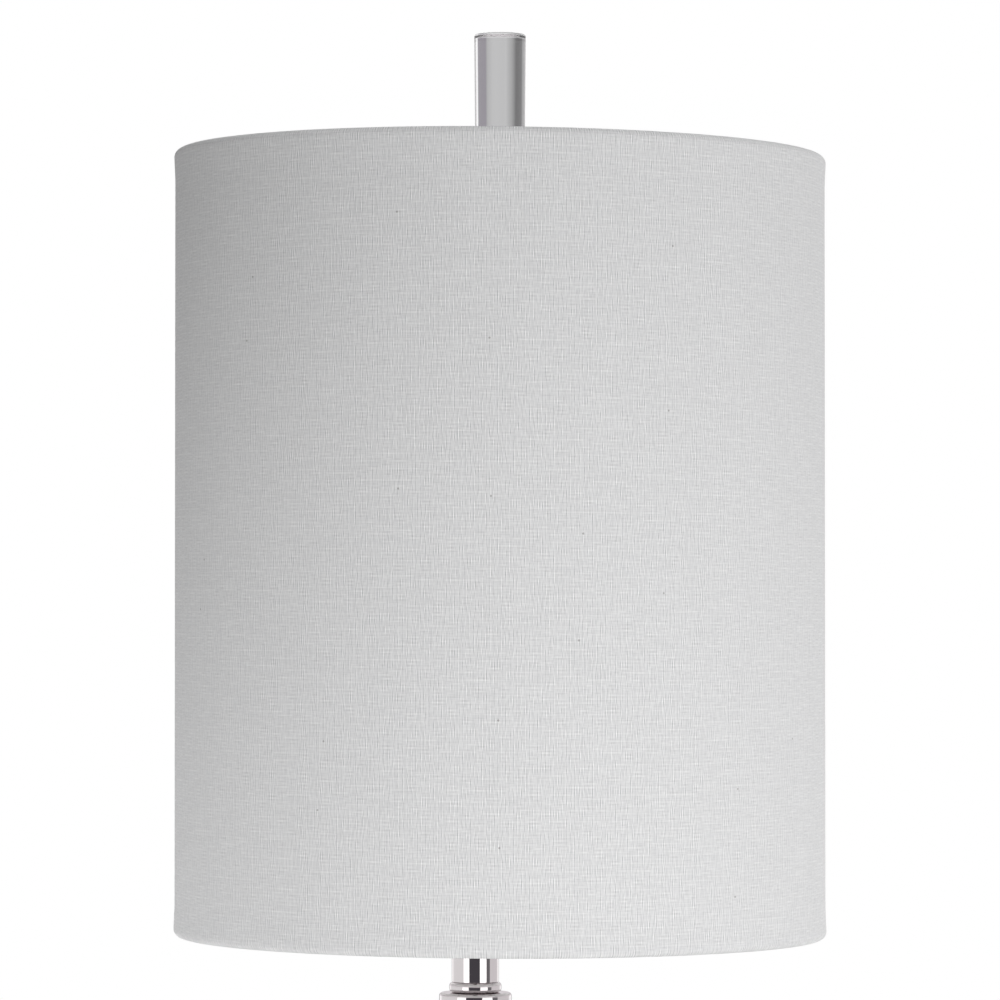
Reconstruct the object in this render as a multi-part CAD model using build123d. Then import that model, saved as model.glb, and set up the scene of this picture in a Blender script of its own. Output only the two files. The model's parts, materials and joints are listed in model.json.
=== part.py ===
from build123d import *
import os
from math import cos, radians, sin

# A buffet lamp. Millimetres, +Z up, -Y to the front.
# The origin is the middle of the felt pad's underside, on the column's axis.

# Gaps between pieces
slip_gap = 0.1  # pieces that are put together by hand or turn on each other
free_gap = 0.3  # pieces that pass each other

# Weighted base
base_diameter = 160.0
base_height = 30.0
base_step_diameter = 104.0
base_step_height = 18.0
base_wall = 1.5
base_edge = 3.5  # rounding of both outer edges
base_root = 2.0  # rounding where the upper step rises
base_lift = 1.0  # the rim hangs clear of the table
felt_thickness = 2.0
felt_margin = 2.0  # the felt stops short of the rim
cover_thickness = 1.5
weight_margin = 3.0  # the iron keeps off the rim's rounding
weight_web = 5.0  # iron left above the nut's well
nut_well_diameter = 30.0

# Cord inlet in the base's back
inlet_height = 9.0
inlet_bore = 7.0
inlet_barrel = 10.0
inlet_flange = 14.0
inlet_flange_thickness = 2.0
inlet_lip = 0.5  # the snap ridge behind the wall
inlet_length = 9.0  # from the flange inwards

# All-thread pipe and what clamps the stack
pipe_diameter = 10.0
pipe_bore = 7.0
pipe_tail = 1.0  # pipe that stands out below the nut
nut_width = 14.3
nut_height = 5.0
lock_washer_diameter = 18.0
lock_washer_thickness = 1.2

# Column and neck
column_diameter = 25.4
column_length = 427.8
column_wall = 1.2
collar_diameter = 28.2
collar_height = 14.0
collar_edge = 1.2
collar_spigot = 8.0
lower_ring_diameter = 36.0
lower_ring_height = 4.0
neck_diameter = 18.4
neck_length = 37.5
neck_wall = 1.2
neck_ring_diameter = 20.4
neck_ring_height = 4.1
bead_edge = 1.6  # rounding of the bead rings
neck_spigot = 5.0
neck_cap_diameter = 20.4
neck_cap_height = 3.0

# Harp: saddle, wire, sleeves and stud
saddle_thickness = 2.0
saddle_width = 13.0
saddle_rise = 14.0  # from the saddle's floor to its shoulders
saddle_bend = 5.0
lap_length = 12.0  # half-round tongue above the shoulder
harp_leg_spread = 56.0
harp_wire_diameter = 4.4
harp_height = 270.0  # from the saddle's floor to the shade's seat
harp_leg_height = 58.0  # where the legs start to spread
harp_belly_width = 104.0
harp_belly_low = 115.0  # the bow is widest between these heights
harp_belly_high = 198.0
harp_side_bend = 60.0
harp_crown_width = 28.0
harp_crown_bend = 14.0
sleeve_height = 16.0
sleeve_wall = 1.0
seat_diameter = 22.0
seat_thickness = 2.4
seat_boss_diameter = 11.0
seat_boss_depth = 5.2
stud_diameter = 6.3
stud_reach = 9.0  # stud above the spider's washer
shade_lean = 9.6  # the harp leans, so the shade's axis stands this far to +X

# Shade
shade_diameter = 254.0
shade_height = 304.8
fabric_thickness = 0.7
liner_thickness = 0.5
glue_gap = 0.05
rim_swell = 0.4  # the rims stand proud of the wall
rim_swell_length = 12.0
ring_wire_diameter = 3.2
hem_tuck = 2.4  # turned-in edge below the rim's roll
seam_width = 12.0
seam_thickness = 0.4
spider_wire_diameter = 3.2
spider_arm_count = 3
spider_bend = 3.5
washer_diameter = 28.0
washer_thickness = 2.0
fitter_drop = 8.0  # from the shade's top down to the washer

# Finial
finial_base_height = 14.0
finial_foot_diameter = 22.0
finial_foot_height = 3.0
finial_waist_diameter = 16.0
finial_cup_diameter = 21.2
finial_cup_height = 6.0
finial_edge = 0.6
crystal_root_diameter = 19.4
crystal_top_diameter = 20.2
crystal_height = 43.2
crystal_edge = 1.0
crystal_seat = 2.0  # depth of the cup's recess
insert_diameter = 9.4
insert_height = 10.0

# Socket and switch
socket_cap_diameter = 35.0
socket_cap_height = 18.0
socket_cap_wall = 0.8
socket_cap_bend = 2.0
socket_hub_diameter = 16.0
socket_hub_height = 6.0
socket_flare = 6.0  # height of the cap's cone
set_screw_diameter = 3.0
set_screw_head = 1.0  # screw that stands out of the hub
socket_shell_diameter = 33.0
socket_shell_wall = 0.6
socket_lip = 0.6  # rolled rim at the shell's mouth
socket_lip_height = 1.6
mouth_gap = 1.2  # from the shell's mouth up to the bulb's body
socket_liner_wall = 0.8
socket_body_height = 18.0
screw_shell_bore = 27.0
screw_shell_wall = 0.4
screw_shell_window = 14.0
terminal_flat = 11.5  # from the axis to the flats that carry the terminals
terminal_head_diameter = 6.0
terminal_head_height = 2.0
terminal_shank_diameter = 3.2
terminal_shank_length = 4.0
contact_width = 5.0
contact_length = 9.0
contact_sheet = 0.6
contact_rise = 3.0
shaft_diameter = 4.0
shaft_depth = 6.0  # how far the shaft reaches into the socket's body
shaft_height = 9.0  # above the body's underside
knob_diameter = 11.0
knob_length = 13.0
knob_edge = 1.0
knob_flutes = 10
knob_flute_diameter = 1.6

# Bulb
bulb_diameter = 60.0
bulb_length = 108.0
bulb_button_diameter = 9.0
bulb_button_height = 2.0
bulb_stem_diameter = 6.0
bulb_stem_height = 2.5
bulb_cap_length = 23.0
bulb_neck_diameter = 29.0
bulb_dome_angle = 30.0  # the dome ends this far below its widest circle
bulb_edge = 1.2

# Heights, worked up from the table
cover_top = felt_thickness + cover_thickness
land_underside = base_step_height - base_wall
lower_ring_top = base_height + lower_ring_height
lower_collar_top = lower_ring_top + collar_height
column_top = lower_collar_top + column_length
upper_collar_top = column_top + collar_height
neck_ring_top = upper_collar_top + neck_ring_height
neck_top = neck_ring_top + neck_length
saddle_floor = neck_top + neck_cap_height
saddle_top = saddle_floor + saddle_thickness
shoulder_top = saddle_top + saddle_rise
seat_top = saddle_top + harp_height
washer_top = seat_top + washer_thickness
shade_top = washer_top + fitter_drop
shade_middle = shade_top - shade_height / 2
well_top = land_underside - weight_web
nut_top = well_top - lock_washer_thickness
nut_bottom = nut_top - nut_height
pipe_top = saddle_top + socket_hub_height
socket_floor = pipe_top + socket_cap_wall
socket_body_bottom = saddle_top + socket_hub_height + socket_flare
socket_body_top = socket_body_bottom + socket_body_height
shaft_z = socket_body_bottom + shaft_height
bulb_bottom = socket_body_top + contact_rise
bulb_cap_top = bulb_bottom + bulb_button_height + bulb_cap_length
socket_shell_bottom = socket_body_bottom + socket_cap_wall + socket_cap_bend
socket_mouth = bulb_cap_top - mouth_gap

# Radii that several pieces share
pipe_hole = pipe_diameter + 2 * slip_gap
wall_radius = shade_diameter / 2 - rim_swell
liner_radius = wall_radius - fabric_thickness - glue_gap
ring_radius = liner_radius - liner_thickness - slip_gap - ring_wire_diameter / 2
hem_radius = ring_radius - ring_wire_diameter / 2 - slip_gap
roll_outer = (shade_diameter / 2 - hem_radius + fabric_thickness) / 2
roll_inner = roll_outer - fabric_thickness
roll_radius = shade_diameter / 2 - roll_outer
ring_height = shade_height / 2 - roll_outer
socket_cap_bore = socket_cap_diameter - 2 * socket_cap_wall
socket_liner_diameter = socket_shell_diameter - 2 * socket_shell_wall - 2 * slip_gap
socket_body_diameter = socket_liner_diameter - 2 * socket_liner_wall - 2 * slip_gap
screw_shell_diameter = screw_shell_bore + 2 * screw_shell_wall
bulb_cap_diameter = screw_shell_bore - 2 * free_gap

# Where turned things point
to_back = Rot(-90, 0, 0)
to_front = Rot(90, 0, 0)
on_shade_axis = Pos(shade_lean, 0, 0)


def rod(diameter, bottom, top):
    """A round bar on the Z axis between two heights."""
    bar = Cylinder(diameter / 2, top - bottom, align=(Align.CENTER, Align.CENTER, Align.MIN))
    return Pos(0, 0, bottom) * bar


def tube(outer, inner, bottom, top):
    """A round tube on the Z axis between two heights."""
    return rod(outer, bottom, top) - rod(inner, bottom, top)


def turned(*corners):
    """A piece turned about Z from (radius, height) corners; a third number rounds that corner."""
    points = [corner[:2] for corner in corners]
    rounding = [corner[2] if len(corner) > 2 else 0 for corner in corners]
    outline = FilletPolyline(*points, radius=rounding, close=True)
    return revolve(Plane.XZ * make_face(outline), Axis.Z)


def swept_wire(path, diameter):
    """A round wire along a path."""
    return sweep(Plane(path @ 0, z_dir=path % 0) * Circle(diameter / 2), path=path)


# Base


def felt_pad():
    width = base_diameter - 2 * base_wall - 2 * felt_margin
    return rod(width, 0, felt_thickness)


def base_cover():
    width = base_diameter - 2 * base_wall - 2 * slip_gap
    return rod(width, felt_thickness, cover_top)


def base_weight():
    width = base_diameter - 2 * base_wall - 2 * weight_margin
    iron = rod(width, cover_top, land_underside) - rod(pipe_hole, cover_top, land_underside)
    iron -= rod(nut_well_diameter, cover_top, well_top)
    channel_width = inlet_barrel + 2 * inlet_lip + 2 * free_gap
    channel_height = inlet_height + channel_width / 2 - cover_top
    from_middle = (Align.CENTER, Align.MIN, Align.MIN)
    return iron - Pos(0, 0, cover_top) * Box(channel_width, width, channel_height, align=from_middle)


def base_shell():
    """Spun steel cover in two steps, open below, with the cord's hole in its back."""
    rim = base_diameter / 2
    step = base_step_diameter / 2
    riser = base_height - base_step_height
    edge = min(base_edge, riser / 2)
    root = min(base_root, riser / 3)
    shell = turned(
        (rim, base_lift),
        (rim, base_step_height, edge),
        (step, base_step_height, root),
        (step, base_height, edge),
        (pipe_hole / 2, base_height),
        (pipe_hole / 2, base_height - base_wall),
        (step - base_wall, base_height - base_wall, max(edge - base_wall, 0)),
        (step - base_wall, land_underside, root + base_wall),
        (rim - base_wall, land_underside, max(edge - base_wall, 0)),
        (rim - base_wall, base_lift),
    )
    drill = to_back * rod(inlet_barrel + 2 * slip_gap, 0, base_diameter)
    return shell - Pos(0, 0, inlet_height) * drill


def cord_bushing():
    """Plastic bushing that snaps into the base's back."""
    bore = inlet_bore / 2
    barrel = inlet_barrel / 2
    lip_top = -base_wall - free_gap
    bushing = turned(
        (bore, -inlet_length),
        (barrel - inlet_lip, -inlet_length),
        (barrel + inlet_lip, lip_top - 2 * inlet_lip),
        (barrel + inlet_lip, lip_top),
        (barrel, lip_top),
        (barrel, 0),
        (inlet_flange / 2, 0),
        (inlet_flange / 2, inlet_flange_thickness, inlet_flange_thickness / 2),
        (bore, inlet_flange_thickness, inlet_flange_thickness / 2),
    )
    return Pos(0, base_diameter / 2, inlet_height) * to_back * bushing


def threaded_pipe():
    return tube(pipe_diameter, pipe_bore, nut_bottom - pipe_tail, pipe_top)


def base_lock_washer():
    return tube(lock_washer_diameter, pipe_hole, nut_top, well_top)


def base_nut():
    hexagon = RegularPolygon(nut_width / 2, 6, major_radius=False)
    nut = Pos(0, 0, nut_bottom) * extrude(hexagon, nut_height)
    return nut - rod(pipe_hole, nut_bottom, nut_top)


# Column and neck


def bead(diameter, edge, bottom, top):
    """A ring on the pipe with its outer edges rounded."""
    hole = pipe_hole / 2
    edge = min(edge, (top - bottom) / 2 - slip_gap)
    return turned(
        (hole, bottom), (diameter / 2, bottom, edge), (diameter / 2, top, edge), (hole, top)
    )


def column_spigot(bottom, top):
    """The collars' turned-down end, which centres the column's tube."""
    return tube(column_diameter - 2 * column_wall - 2 * slip_gap, pipe_hole, bottom, top)


def lower_ring():
    return bead(lower_ring_diameter, bead_edge, base_height, lower_ring_top)


def lower_collar():
    collar = bead(collar_diameter, collar_edge, lower_ring_top, lower_collar_top)
    return collar + column_spigot(lower_collar_top, lower_collar_top + collar_spigot)


def column_tube():
    return tube(column_diameter, column_diameter - 2 * column_wall, lower_collar_top, column_top)


def upper_collar():
    collar = bead(collar_diameter, collar_edge, column_top, upper_collar_top)
    return collar + column_spigot(column_top - collar_spigot, column_top)


def neck_bore():
    return neck_diameter - 2 * neck_wall


def neck_ring():
    ring = bead(neck_ring_diameter, bead_edge, upper_collar_top, neck_ring_top)
    return ring + tube(neck_bore() - 2 * slip_gap, pipe_hole, neck_ring_top, neck_ring_top + neck_spigot)


def neck_tube():
    return tube(neck_diameter, neck_bore(), neck_ring_top, neck_top)


def neck_cap():
    cap = bead(neck_cap_diameter, collar_edge, neck_top, saddle_floor)
    return cap + tube(neck_bore() - 2 * slip_gap, pipe_hole, neck_top - neck_spigot, neck_top)


# Harp


def harp_saddle():
    """Bent strip whose arms end in half-round tongues."""
    inside = harp_leg_spread / 2 + slip_gap
    outside = inside + saddle_thickness
    tip = shoulder_top + lap_length
    outer = FilletPolyline(
        (-outside, tip),
        (-outside, saddle_floor),
        (outside, saddle_floor),
        (outside, tip),
        radius=saddle_bend + saddle_thickness,
    )
    inner = FilletPolyline(
        (inside, tip), (inside, saddle_top), (-inside, saddle_top), (-inside, tip), radius=saddle_bend
    )
    rim = outer + Line(outer @ 1, inner @ 0) + inner + Line(inner @ 1, outer @ 0)
    strip = extrude(Plane.XZ * make_face(rim), saddle_width / 2, both=True)
    below = strip - Pos(0, 0, shoulder_top) * Box(
        2 * harp_leg_spread, saddle_width, lap_length, align=(Align.CENTER, Align.CENTER, Align.MIN)
    )
    tongues = Part()
    for side in (-1, 1):
        leg = Pos(side * harp_leg_spread / 2, 0, 0) * rod(harp_wire_diameter, shoulder_top, tip)
        tongues += strip & leg
    return below + tongues - rod(pipe_hole, saddle_floor, saddle_top)


def harp_wire():
    """One bow of wire with half-round ends, leaning so that its crown stands on the shade's axis."""
    leg = harp_leg_spread / 2
    crown = seat_top - seat_thickness - slip_gap - harp_wire_diameter / 2
    spread_start = saddle_top + harp_leg_height

    def bow(side, half_width, height):
        lean = shade_lean * (height - spread_start) / (crown - spread_start)
        return (lean + side * half_width, 0, height)

    right = [
        (leg, 0, shoulder_top),
        (leg, 0, spread_start),
        bow(1, harp_belly_width / 2, saddle_top + harp_belly_low),
        bow(1, harp_belly_width / 2, saddle_top + harp_belly_high),
        bow(1, harp_crown_width / 2, crown),
    ]
    left = [
        bow(-1, harp_crown_width / 2, crown),
        bow(-1, harp_belly_width / 2, saddle_top + harp_belly_high),
        bow(-1, harp_belly_width / 2, saddle_top + harp_belly_low),
        (-leg, 0, spread_start),
        (-leg, 0, shoulder_top),
    ]
    side_bends = [harp_side_bend] * 3
    crown_bends = [harp_crown_bend] * 2
    path = FilletPolyline(*right, *left, radius=side_bends + crown_bends + side_bends)
    wire = swept_wire(path, harp_wire_diameter)
    half = Box(
        harp_wire_diameter,
        2 * harp_wire_diameter,
        lap_length + slip_gap,
        align=(Align.MIN, Align.CENTER, Align.MIN),
    )
    wire -= Pos(leg, 0, shoulder_top) * half
    return wire - Pos(-leg, 0, shoulder_top) * Rot(0, 0, 180) * half


def harp_sleeve(side):
    """Tube that drops over a tongue and a wire end and locks them."""
    bore = harp_wire_diameter + 2 * free_gap
    sleeve = tube(bore + 2 * sleeve_wall, bore, shoulder_top, shoulder_top + sleeve_height)
    return Pos(side * harp_leg_spread / 2, 0, 0) * sleeve


def harp_stud():
    """Seat for the shade, with the finial's stud above and a slotted boss for the wire below."""
    underside = seat_top - seat_thickness
    boss = rod(seat_boss_diameter, underside - seat_boss_depth, underside)
    slot = Box(
        seat_boss_diameter,
        harp_wire_diameter + 2 * slip_gap,
        seat_boss_depth,
        align=(Align.CENTER, Align.CENTER, Align.MAX),
    )
    boss -= Pos(0, 0, underside) * slot
    seat = rod(seat_diameter, underside, seat_top)
    stud = rod(stud_diameter, seat_top, washer_top + stud_reach)
    return on_shade_axis * (boss + seat + stud)


# Shade, made about its own axis


def shade_fabric():
    """Linen skin, rolled over the ring at each rim, with its lapped seam at the back."""
    half = shade_height / 2
    rim = shade_diameter / 2
    inside = wall_radius - fabric_thickness
    swell = half - rim_swell_length
    tuck = ring_height - hem_tuck
    upper = Polyline((wall_radius, 0), (wall_radius, swell), (rim, ring_height))
    upper += ThreePointArc((rim, ring_height), (roll_radius, half), (roll_radius - roll_outer, ring_height))
    upper += Polyline(
        (roll_radius - roll_outer, ring_height),
        (roll_radius - roll_outer, tuck),
        (roll_radius - roll_inner, tuck),
        (roll_radius - roll_inner, ring_height),
    )
    upper += ThreePointArc(
        (roll_radius - roll_inner, ring_height),
        (roll_radius, ring_height + roll_inner),
        (roll_radius + roll_inner, ring_height),
    )
    upper += Polyline((roll_radius + roll_inner, ring_height), (inside, swell), (inside, 0))
    outline = upper + mirror(upper, Plane.XZ)
    skin = revolve(Plane.XZ * make_face(outline), Axis.Z)
    lap = tube(2 * (wall_radius + seam_thickness), 2 * wall_radius - fabric_thickness, -swell, swell)
    lap &= Box(seam_width, rim, shade_height, align=(Align.CENTER, Align.MIN, Align.CENTER)).moved(
        Pos(0, rim / 2, 0)
    )
    return on_shade_axis * Pos(0, 0, shade_middle) * (skin + lap)


def shade_liner():
    outer = 2 * liner_radius
    liner = tube(outer, outer - 2 * liner_thickness, -ring_height, ring_height)
    return on_shade_axis * Pos(0, 0, shade_middle) * liner


def shade_ring(side):
    ring = Torus(ring_radius, ring_wire_diameter / 2)
    return on_shade_axis * Pos(0, 0, shade_middle + side * ring_height) * ring


def spider_washer():
    return on_shade_axis * tube(washer_diameter, stud_diameter + 2 * free_gap, seat_top, washer_top)


def spider_arms():
    """Wires from the washer to the underside of the top ring."""
    level = (seat_top + washer_top) / 2
    ring_level = shade_middle + ring_height
    path = FilletPolyline(
        (washer_diameter / 2, 0, level), (ring_radius, 0, level), (ring_radius, 0, ring_level), radius=spider_bend
    )
    arm = swept_wire(path, spider_wire_diameter)
    arm -= Pos(0, 0, ring_level) * Torus(ring_radius, ring_wire_diameter / 2)
    arms = Part()
    for place in range(spider_arm_count):
        arms += Rot(0, 0, 90 + 360 * place / spider_arm_count) * arm
    return on_shade_axis * arms


# Finial


def finial_insert():
    bush = tube(insert_diameter, stud_diameter + 2 * slip_gap, washer_top, washer_top + insert_height)
    return on_shade_axis * bush


def finial_base():
    """Turned cup: a foot, a waist and a rim round the crystal's root."""
    top = washer_top + finial_base_height
    foot_top = washer_top + finial_foot_height
    cup_bottom = top - finial_cup_height
    foot = finial_foot_diameter / 2
    waist = finial_waist_diameter / 2
    cup = finial_cup_diameter / 2
    recess = crystal_root_diameter / 2 + slip_gap
    bore = insert_diameter / 2 + slip_gap
    bore_top = washer_top + insert_height + slip_gap
    cupped = turned(
        (bore, washer_top),
        (foot, washer_top, finial_edge),
        (foot, foot_top, finial_edge),
        (waist, foot_top, finial_edge),
        (waist, cup_bottom, finial_edge),
        (cup, cup_bottom, finial_edge),
        (cup, top),
        (recess, top),
        (recess, top - crystal_seat),
        (0, top - crystal_seat),
        (0, bore_top),
        (bore, bore_top),
    )
    return on_shade_axis * cupped


def finial_crystal():
    bottom = washer_top + finial_base_height - crystal_seat
    top = bottom + crystal_height
    crystal = turned(
        (0, bottom), (crystal_root_diameter / 2, bottom), (crystal_top_diameter / 2, top, crystal_edge), (0, top)
    )
    return on_shade_axis * crystal


# Socket and switch


def socket_cap():
    """Spun cap that screws onto the pipe, with a tapped hole for its set screw."""
    rim = socket_cap_diameter / 2
    bore = socket_cap_bore / 2
    hub = socket_hub_diameter / 2
    cap = turned(
        (pipe_hole / 2, saddle_top),
        (hub, saddle_top),
        (hub, pipe_top, socket_cap_bend),
        (rim, socket_body_bottom, socket_cap_bend),
        (rim, saddle_top + socket_cap_height),
        (bore, saddle_top + socket_cap_height),
        (bore, socket_body_bottom + socket_cap_wall / 2, socket_cap_bend),
        (hub - socket_cap_wall, socket_floor),
        (pipe_hole / 2, socket_floor),
    )
    drill = to_back * rod(set_screw_diameter + 2 * slip_gap, 0, socket_hub_diameter)
    return cap - Pos(0, 0, saddle_top + socket_hub_height / 2) * drill


def socket_set_screw():
    screw = rod(set_screw_diameter, pipe_hole / 2, socket_hub_diameter / 2 + set_screw_head)
    return Pos(0, 0, saddle_top + socket_hub_height / 2) * to_back * screw


def shaft_hole(diameter):
    return Pos(0, 0, shaft_z) * to_front * rod(diameter, 0, socket_cap_diameter)


def socket_shell():
    """Thin metal shell that stands in the cap, with a rolled mouth and the switch's hole."""
    outer = socket_shell_diameter / 2
    inner = outer - socket_shell_wall
    lip_bottom = socket_mouth - socket_lip_height
    shell = turned(
        (inner, socket_shell_bottom),
        (outer, socket_shell_bottom),
        (outer, lip_bottom),
        (outer + socket_lip, lip_bottom, socket_lip / 2),
        (outer + socket_lip, socket_mouth, socket_lip / 2),
        (inner, socket_mouth),
    )
    return shell - shaft_hole(shaft_diameter + 4 * free_gap)


def socket_liner():
    inner = socket_liner_diameter - 2 * socket_liner_wall
    liner = tube(socket_liner_diameter, inner, socket_shell_bottom, socket_mouth - socket_lip_height)
    return liner - shaft_hole(shaft_diameter + 4 * free_gap)


def terminal(side, piece):
    """Turns a piece made along Z to point out of the socket's body along X."""
    middle = (socket_body_bottom + socket_body_top) / 2
    return Pos(0, 0, middle) * Rot(0, side * 90, 0) * piece


def socket_body():
    """Moulded insulator with two flats for the terminals and a bore for the switch's shaft."""
    foot = socket_hub_diameter / 2 - socket_cap_wall - slip_gap
    body = rod(socket_body_diameter, socket_body_bottom + socket_cap_wall, socket_body_top)
    body += rod(2 * foot, socket_floor, socket_body_bottom + socket_cap_wall)
    for side in (-1, 1):
        hole = rod(terminal_shank_diameter + 2 * slip_gap, terminal_flat - terminal_shank_length, terminal_flat)
        beyond = Box(
            socket_body_height,
            socket_body_diameter,
            socket_body_diameter,
            align=(Align.CENTER, Align.CENTER, Align.MIN),
        )
        body -= terminal(side, hole + Pos(0, 0, terminal_flat) * beyond)
    socketed = rod(shaft_diameter + 2 * slip_gap, socket_body_diameter / 2 - shaft_depth, socket_body_diameter)
    return body - Pos(0, 0, shaft_z) * to_front * socketed


def terminal_screws():
    head = rod(terminal_head_diameter, terminal_flat, terminal_flat + terminal_head_height)
    shank = rod(terminal_shank_diameter, terminal_flat - terminal_shank_length, terminal_flat)
    return terminal(-1, head + shank) + terminal(1, head + shank)


def screw_shell():
    """Shell that the bulb screws into, with a window in its floor."""
    floor = socket_body_top + screw_shell_wall
    top = socket_mouth - socket_lip_height
    shell = tube(screw_shell_diameter, screw_shell_bore, socket_body_top, top)
    return shell + tube(screw_shell_diameter, screw_shell_window, socket_body_top, floor)


def center_contact():
    """Bent leaf that the bulb's tip presses on."""
    half = contact_length / 2
    leaf = Polyline(
        (-half, 0),
        (half, 0),
        (half, contact_sheet),
        (2 * contact_sheet - half, contact_sheet),
        (half - contact_sheet, contact_rise - contact_sheet),
        (half - contact_sheet, contact_rise),
        (-half, contact_sheet),
        close=True,
    )
    return Pos(0, 0, socket_body_top) * extrude(Plane.XZ * make_face(leaf), contact_width / 2, both=True)


def switch_shaft():
    inner = socket_body_diameter / 2 - shaft_depth
    outer = socket_shell_diameter / 2 + knob_length
    return Pos(0, 0, shaft_z) * to_front * rod(shaft_diameter, inner, outer - knob_length / 2)


def switch_knob():
    """Fluted turn knob outside the shell."""
    inner = socket_cap_diameter / 2 + free_gap
    outer = socket_shell_diameter / 2 + knob_length
    knob = turned(
        (0, outer),
        (knob_diameter / 2, outer, knob_edge),
        (knob_diameter / 2, inner, knob_edge),
        (0, inner),
    )
    for place in range(knob_flutes):
        angle = radians(360 * place / knob_flutes)
        flute = rod(knob_flute_diameter, inner + 2 * knob_edge, outer)
        knob -= Pos(knob_diameter / 2 * cos(angle), knob_diameter / 2 * sin(angle), 0) * flute
    knob -= rod(shaft_diameter, inner, outer - knob_length / 2)
    return Pos(0, 0, shaft_z) * to_front * knob


# Bulb


def bulb_contact():
    button_top = bulb_bottom + bulb_button_height
    button = rod(bulb_button_diameter, bulb_bottom, button_top)
    return button + rod(bulb_stem_diameter, button_top, button_top + bulb_stem_height)


def bulb_cap():
    bottom = bulb_bottom + bulb_button_height
    bore = bulb_stem_diameter / 2 + slip_gap
    bore_top = bottom + bulb_stem_height + slip_gap
    return turned(
        (bore, bottom),
        (bulb_cap_diameter / 2, bottom, 2 * bulb_edge),
        (bulb_cap_diameter / 2, bulb_cap_top),
        (0, bulb_cap_top),
        (0, bore_top),
        (bore, bore_top),
    )


def dome_edge():
    """Radius and height of the circle where the bulb's dome meets its body."""
    ball = bulb_diameter / 2
    angle = radians(bulb_dome_angle)
    middle = bulb_bottom + bulb_length - ball
    return ball * cos(angle), middle - ball * sin(angle)


def bulb_body():
    """Tapered body between the cap and the dome."""
    edge, top = dome_edge()
    neck = bulb_neck_diameter / 2
    return turned((0, bulb_cap_top), (neck, bulb_cap_top, bulb_edge), (edge, top), (0, top))


def bulb_dome():
    ball = bulb_diameter / 2
    edge, bottom = dome_edge()
    peak = bulb_bottom + bulb_length
    high = radians(45)
    shoulder = (ball * cos(high), peak - ball + ball * sin(high))
    outline = Polyline((0, peak), (0, bottom), (edge, bottom))
    outline += ThreePointArc((edge, bottom), shoulder, (0, peak))
    return revolve(Plane.XZ * make_face(outline), Axis.Z)


pieces = {
    "felt_pad": felt_pad(),
    "base_cover": base_cover(),
    "base_weight": base_weight(),
    "base_shell": base_shell(),
    "cord_bushing": cord_bushing(),
    "threaded_pipe": threaded_pipe(),
    "base_lock_washer": base_lock_washer(),
    "base_nut": base_nut(),
    "lower_ring": lower_ring(),
    "lower_collar": lower_collar(),
    "column_tube": column_tube(),
    "upper_collar": upper_collar(),
    "neck_ring": neck_ring(),
    "neck_tube": neck_tube(),
    "neck_cap": neck_cap(),
    "harp_saddle": harp_saddle(),
    "harp_wire": harp_wire(),
    "harp_sleeve_left": harp_sleeve(-1),
    "harp_sleeve_right": harp_sleeve(1),
    "harp_stud": harp_stud(),
    "shade_fabric": shade_fabric(),
    "shade_liner": shade_liner(),
    "shade_top_ring": shade_ring(1),
    "shade_bottom_ring": shade_ring(-1),
    "spider_washer": spider_washer(),
    "spider_arms": spider_arms(),
    "finial_insert": finial_insert(),
    "finial_base": finial_base(),
    "finial_crystal": finial_crystal(),
    "socket_cap": socket_cap(),
    "socket_set_screw": socket_set_screw(),
    "socket_shell": socket_shell(),
    "socket_liner": socket_liner(),
    "socket_body": socket_body(),
    "terminal_screws": terminal_screws(),
    "screw_shell": screw_shell(),
    "center_contact": center_contact(),
    "switch_shaft": switch_shaft(),
    "switch_knob": switch_knob(),
    "bulb_contact": bulb_contact(),
    "bulb_cap": bulb_cap(),
    "bulb_body": bulb_body(),
    "bulb_dome": bulb_dome(),
}

os.makedirs("parts", exist_ok=True)
for name, piece in pieces.items():
    export_step(piece, f"parts/{name}.step")
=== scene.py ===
# %% [markdown]
# # A buffet lamp in linen, nickel and crystal
# The lamp is a slim nickel column under a straight drum shade of white linen. A harp of bent wire carries
# the shade, and a crystal rod screws down on top of it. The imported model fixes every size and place, so
# this lesson starts by loading it, and then makes each piece again with Blender's hand tools and gives it
# a real finish.

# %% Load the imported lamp
import json
import math

import bmesh
import bpy
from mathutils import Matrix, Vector


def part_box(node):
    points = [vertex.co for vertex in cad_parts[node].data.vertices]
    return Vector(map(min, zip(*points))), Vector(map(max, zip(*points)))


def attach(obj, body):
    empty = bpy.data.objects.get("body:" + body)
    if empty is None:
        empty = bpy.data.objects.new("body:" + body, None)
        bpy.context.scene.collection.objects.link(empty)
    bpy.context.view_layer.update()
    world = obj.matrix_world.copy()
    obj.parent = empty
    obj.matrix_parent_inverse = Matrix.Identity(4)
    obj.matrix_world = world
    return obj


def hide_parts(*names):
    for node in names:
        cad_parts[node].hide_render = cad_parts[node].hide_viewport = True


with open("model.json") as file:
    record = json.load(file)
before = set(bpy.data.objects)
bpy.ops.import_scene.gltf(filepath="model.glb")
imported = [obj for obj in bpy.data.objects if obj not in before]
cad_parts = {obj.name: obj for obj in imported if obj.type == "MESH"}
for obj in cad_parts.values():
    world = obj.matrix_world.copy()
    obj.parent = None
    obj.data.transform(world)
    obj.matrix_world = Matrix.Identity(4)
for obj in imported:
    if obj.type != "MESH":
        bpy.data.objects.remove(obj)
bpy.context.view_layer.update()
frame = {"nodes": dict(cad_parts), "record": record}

MM = 0.001
shade_low, shade_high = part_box("shade_fabric")
shade_axis = Vector(((shade_low.x + shade_high.x) / 2, 0, 0))
lamp_axis = Vector((0, 0, 0))
up = Vector((0, 0, 1))

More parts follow.
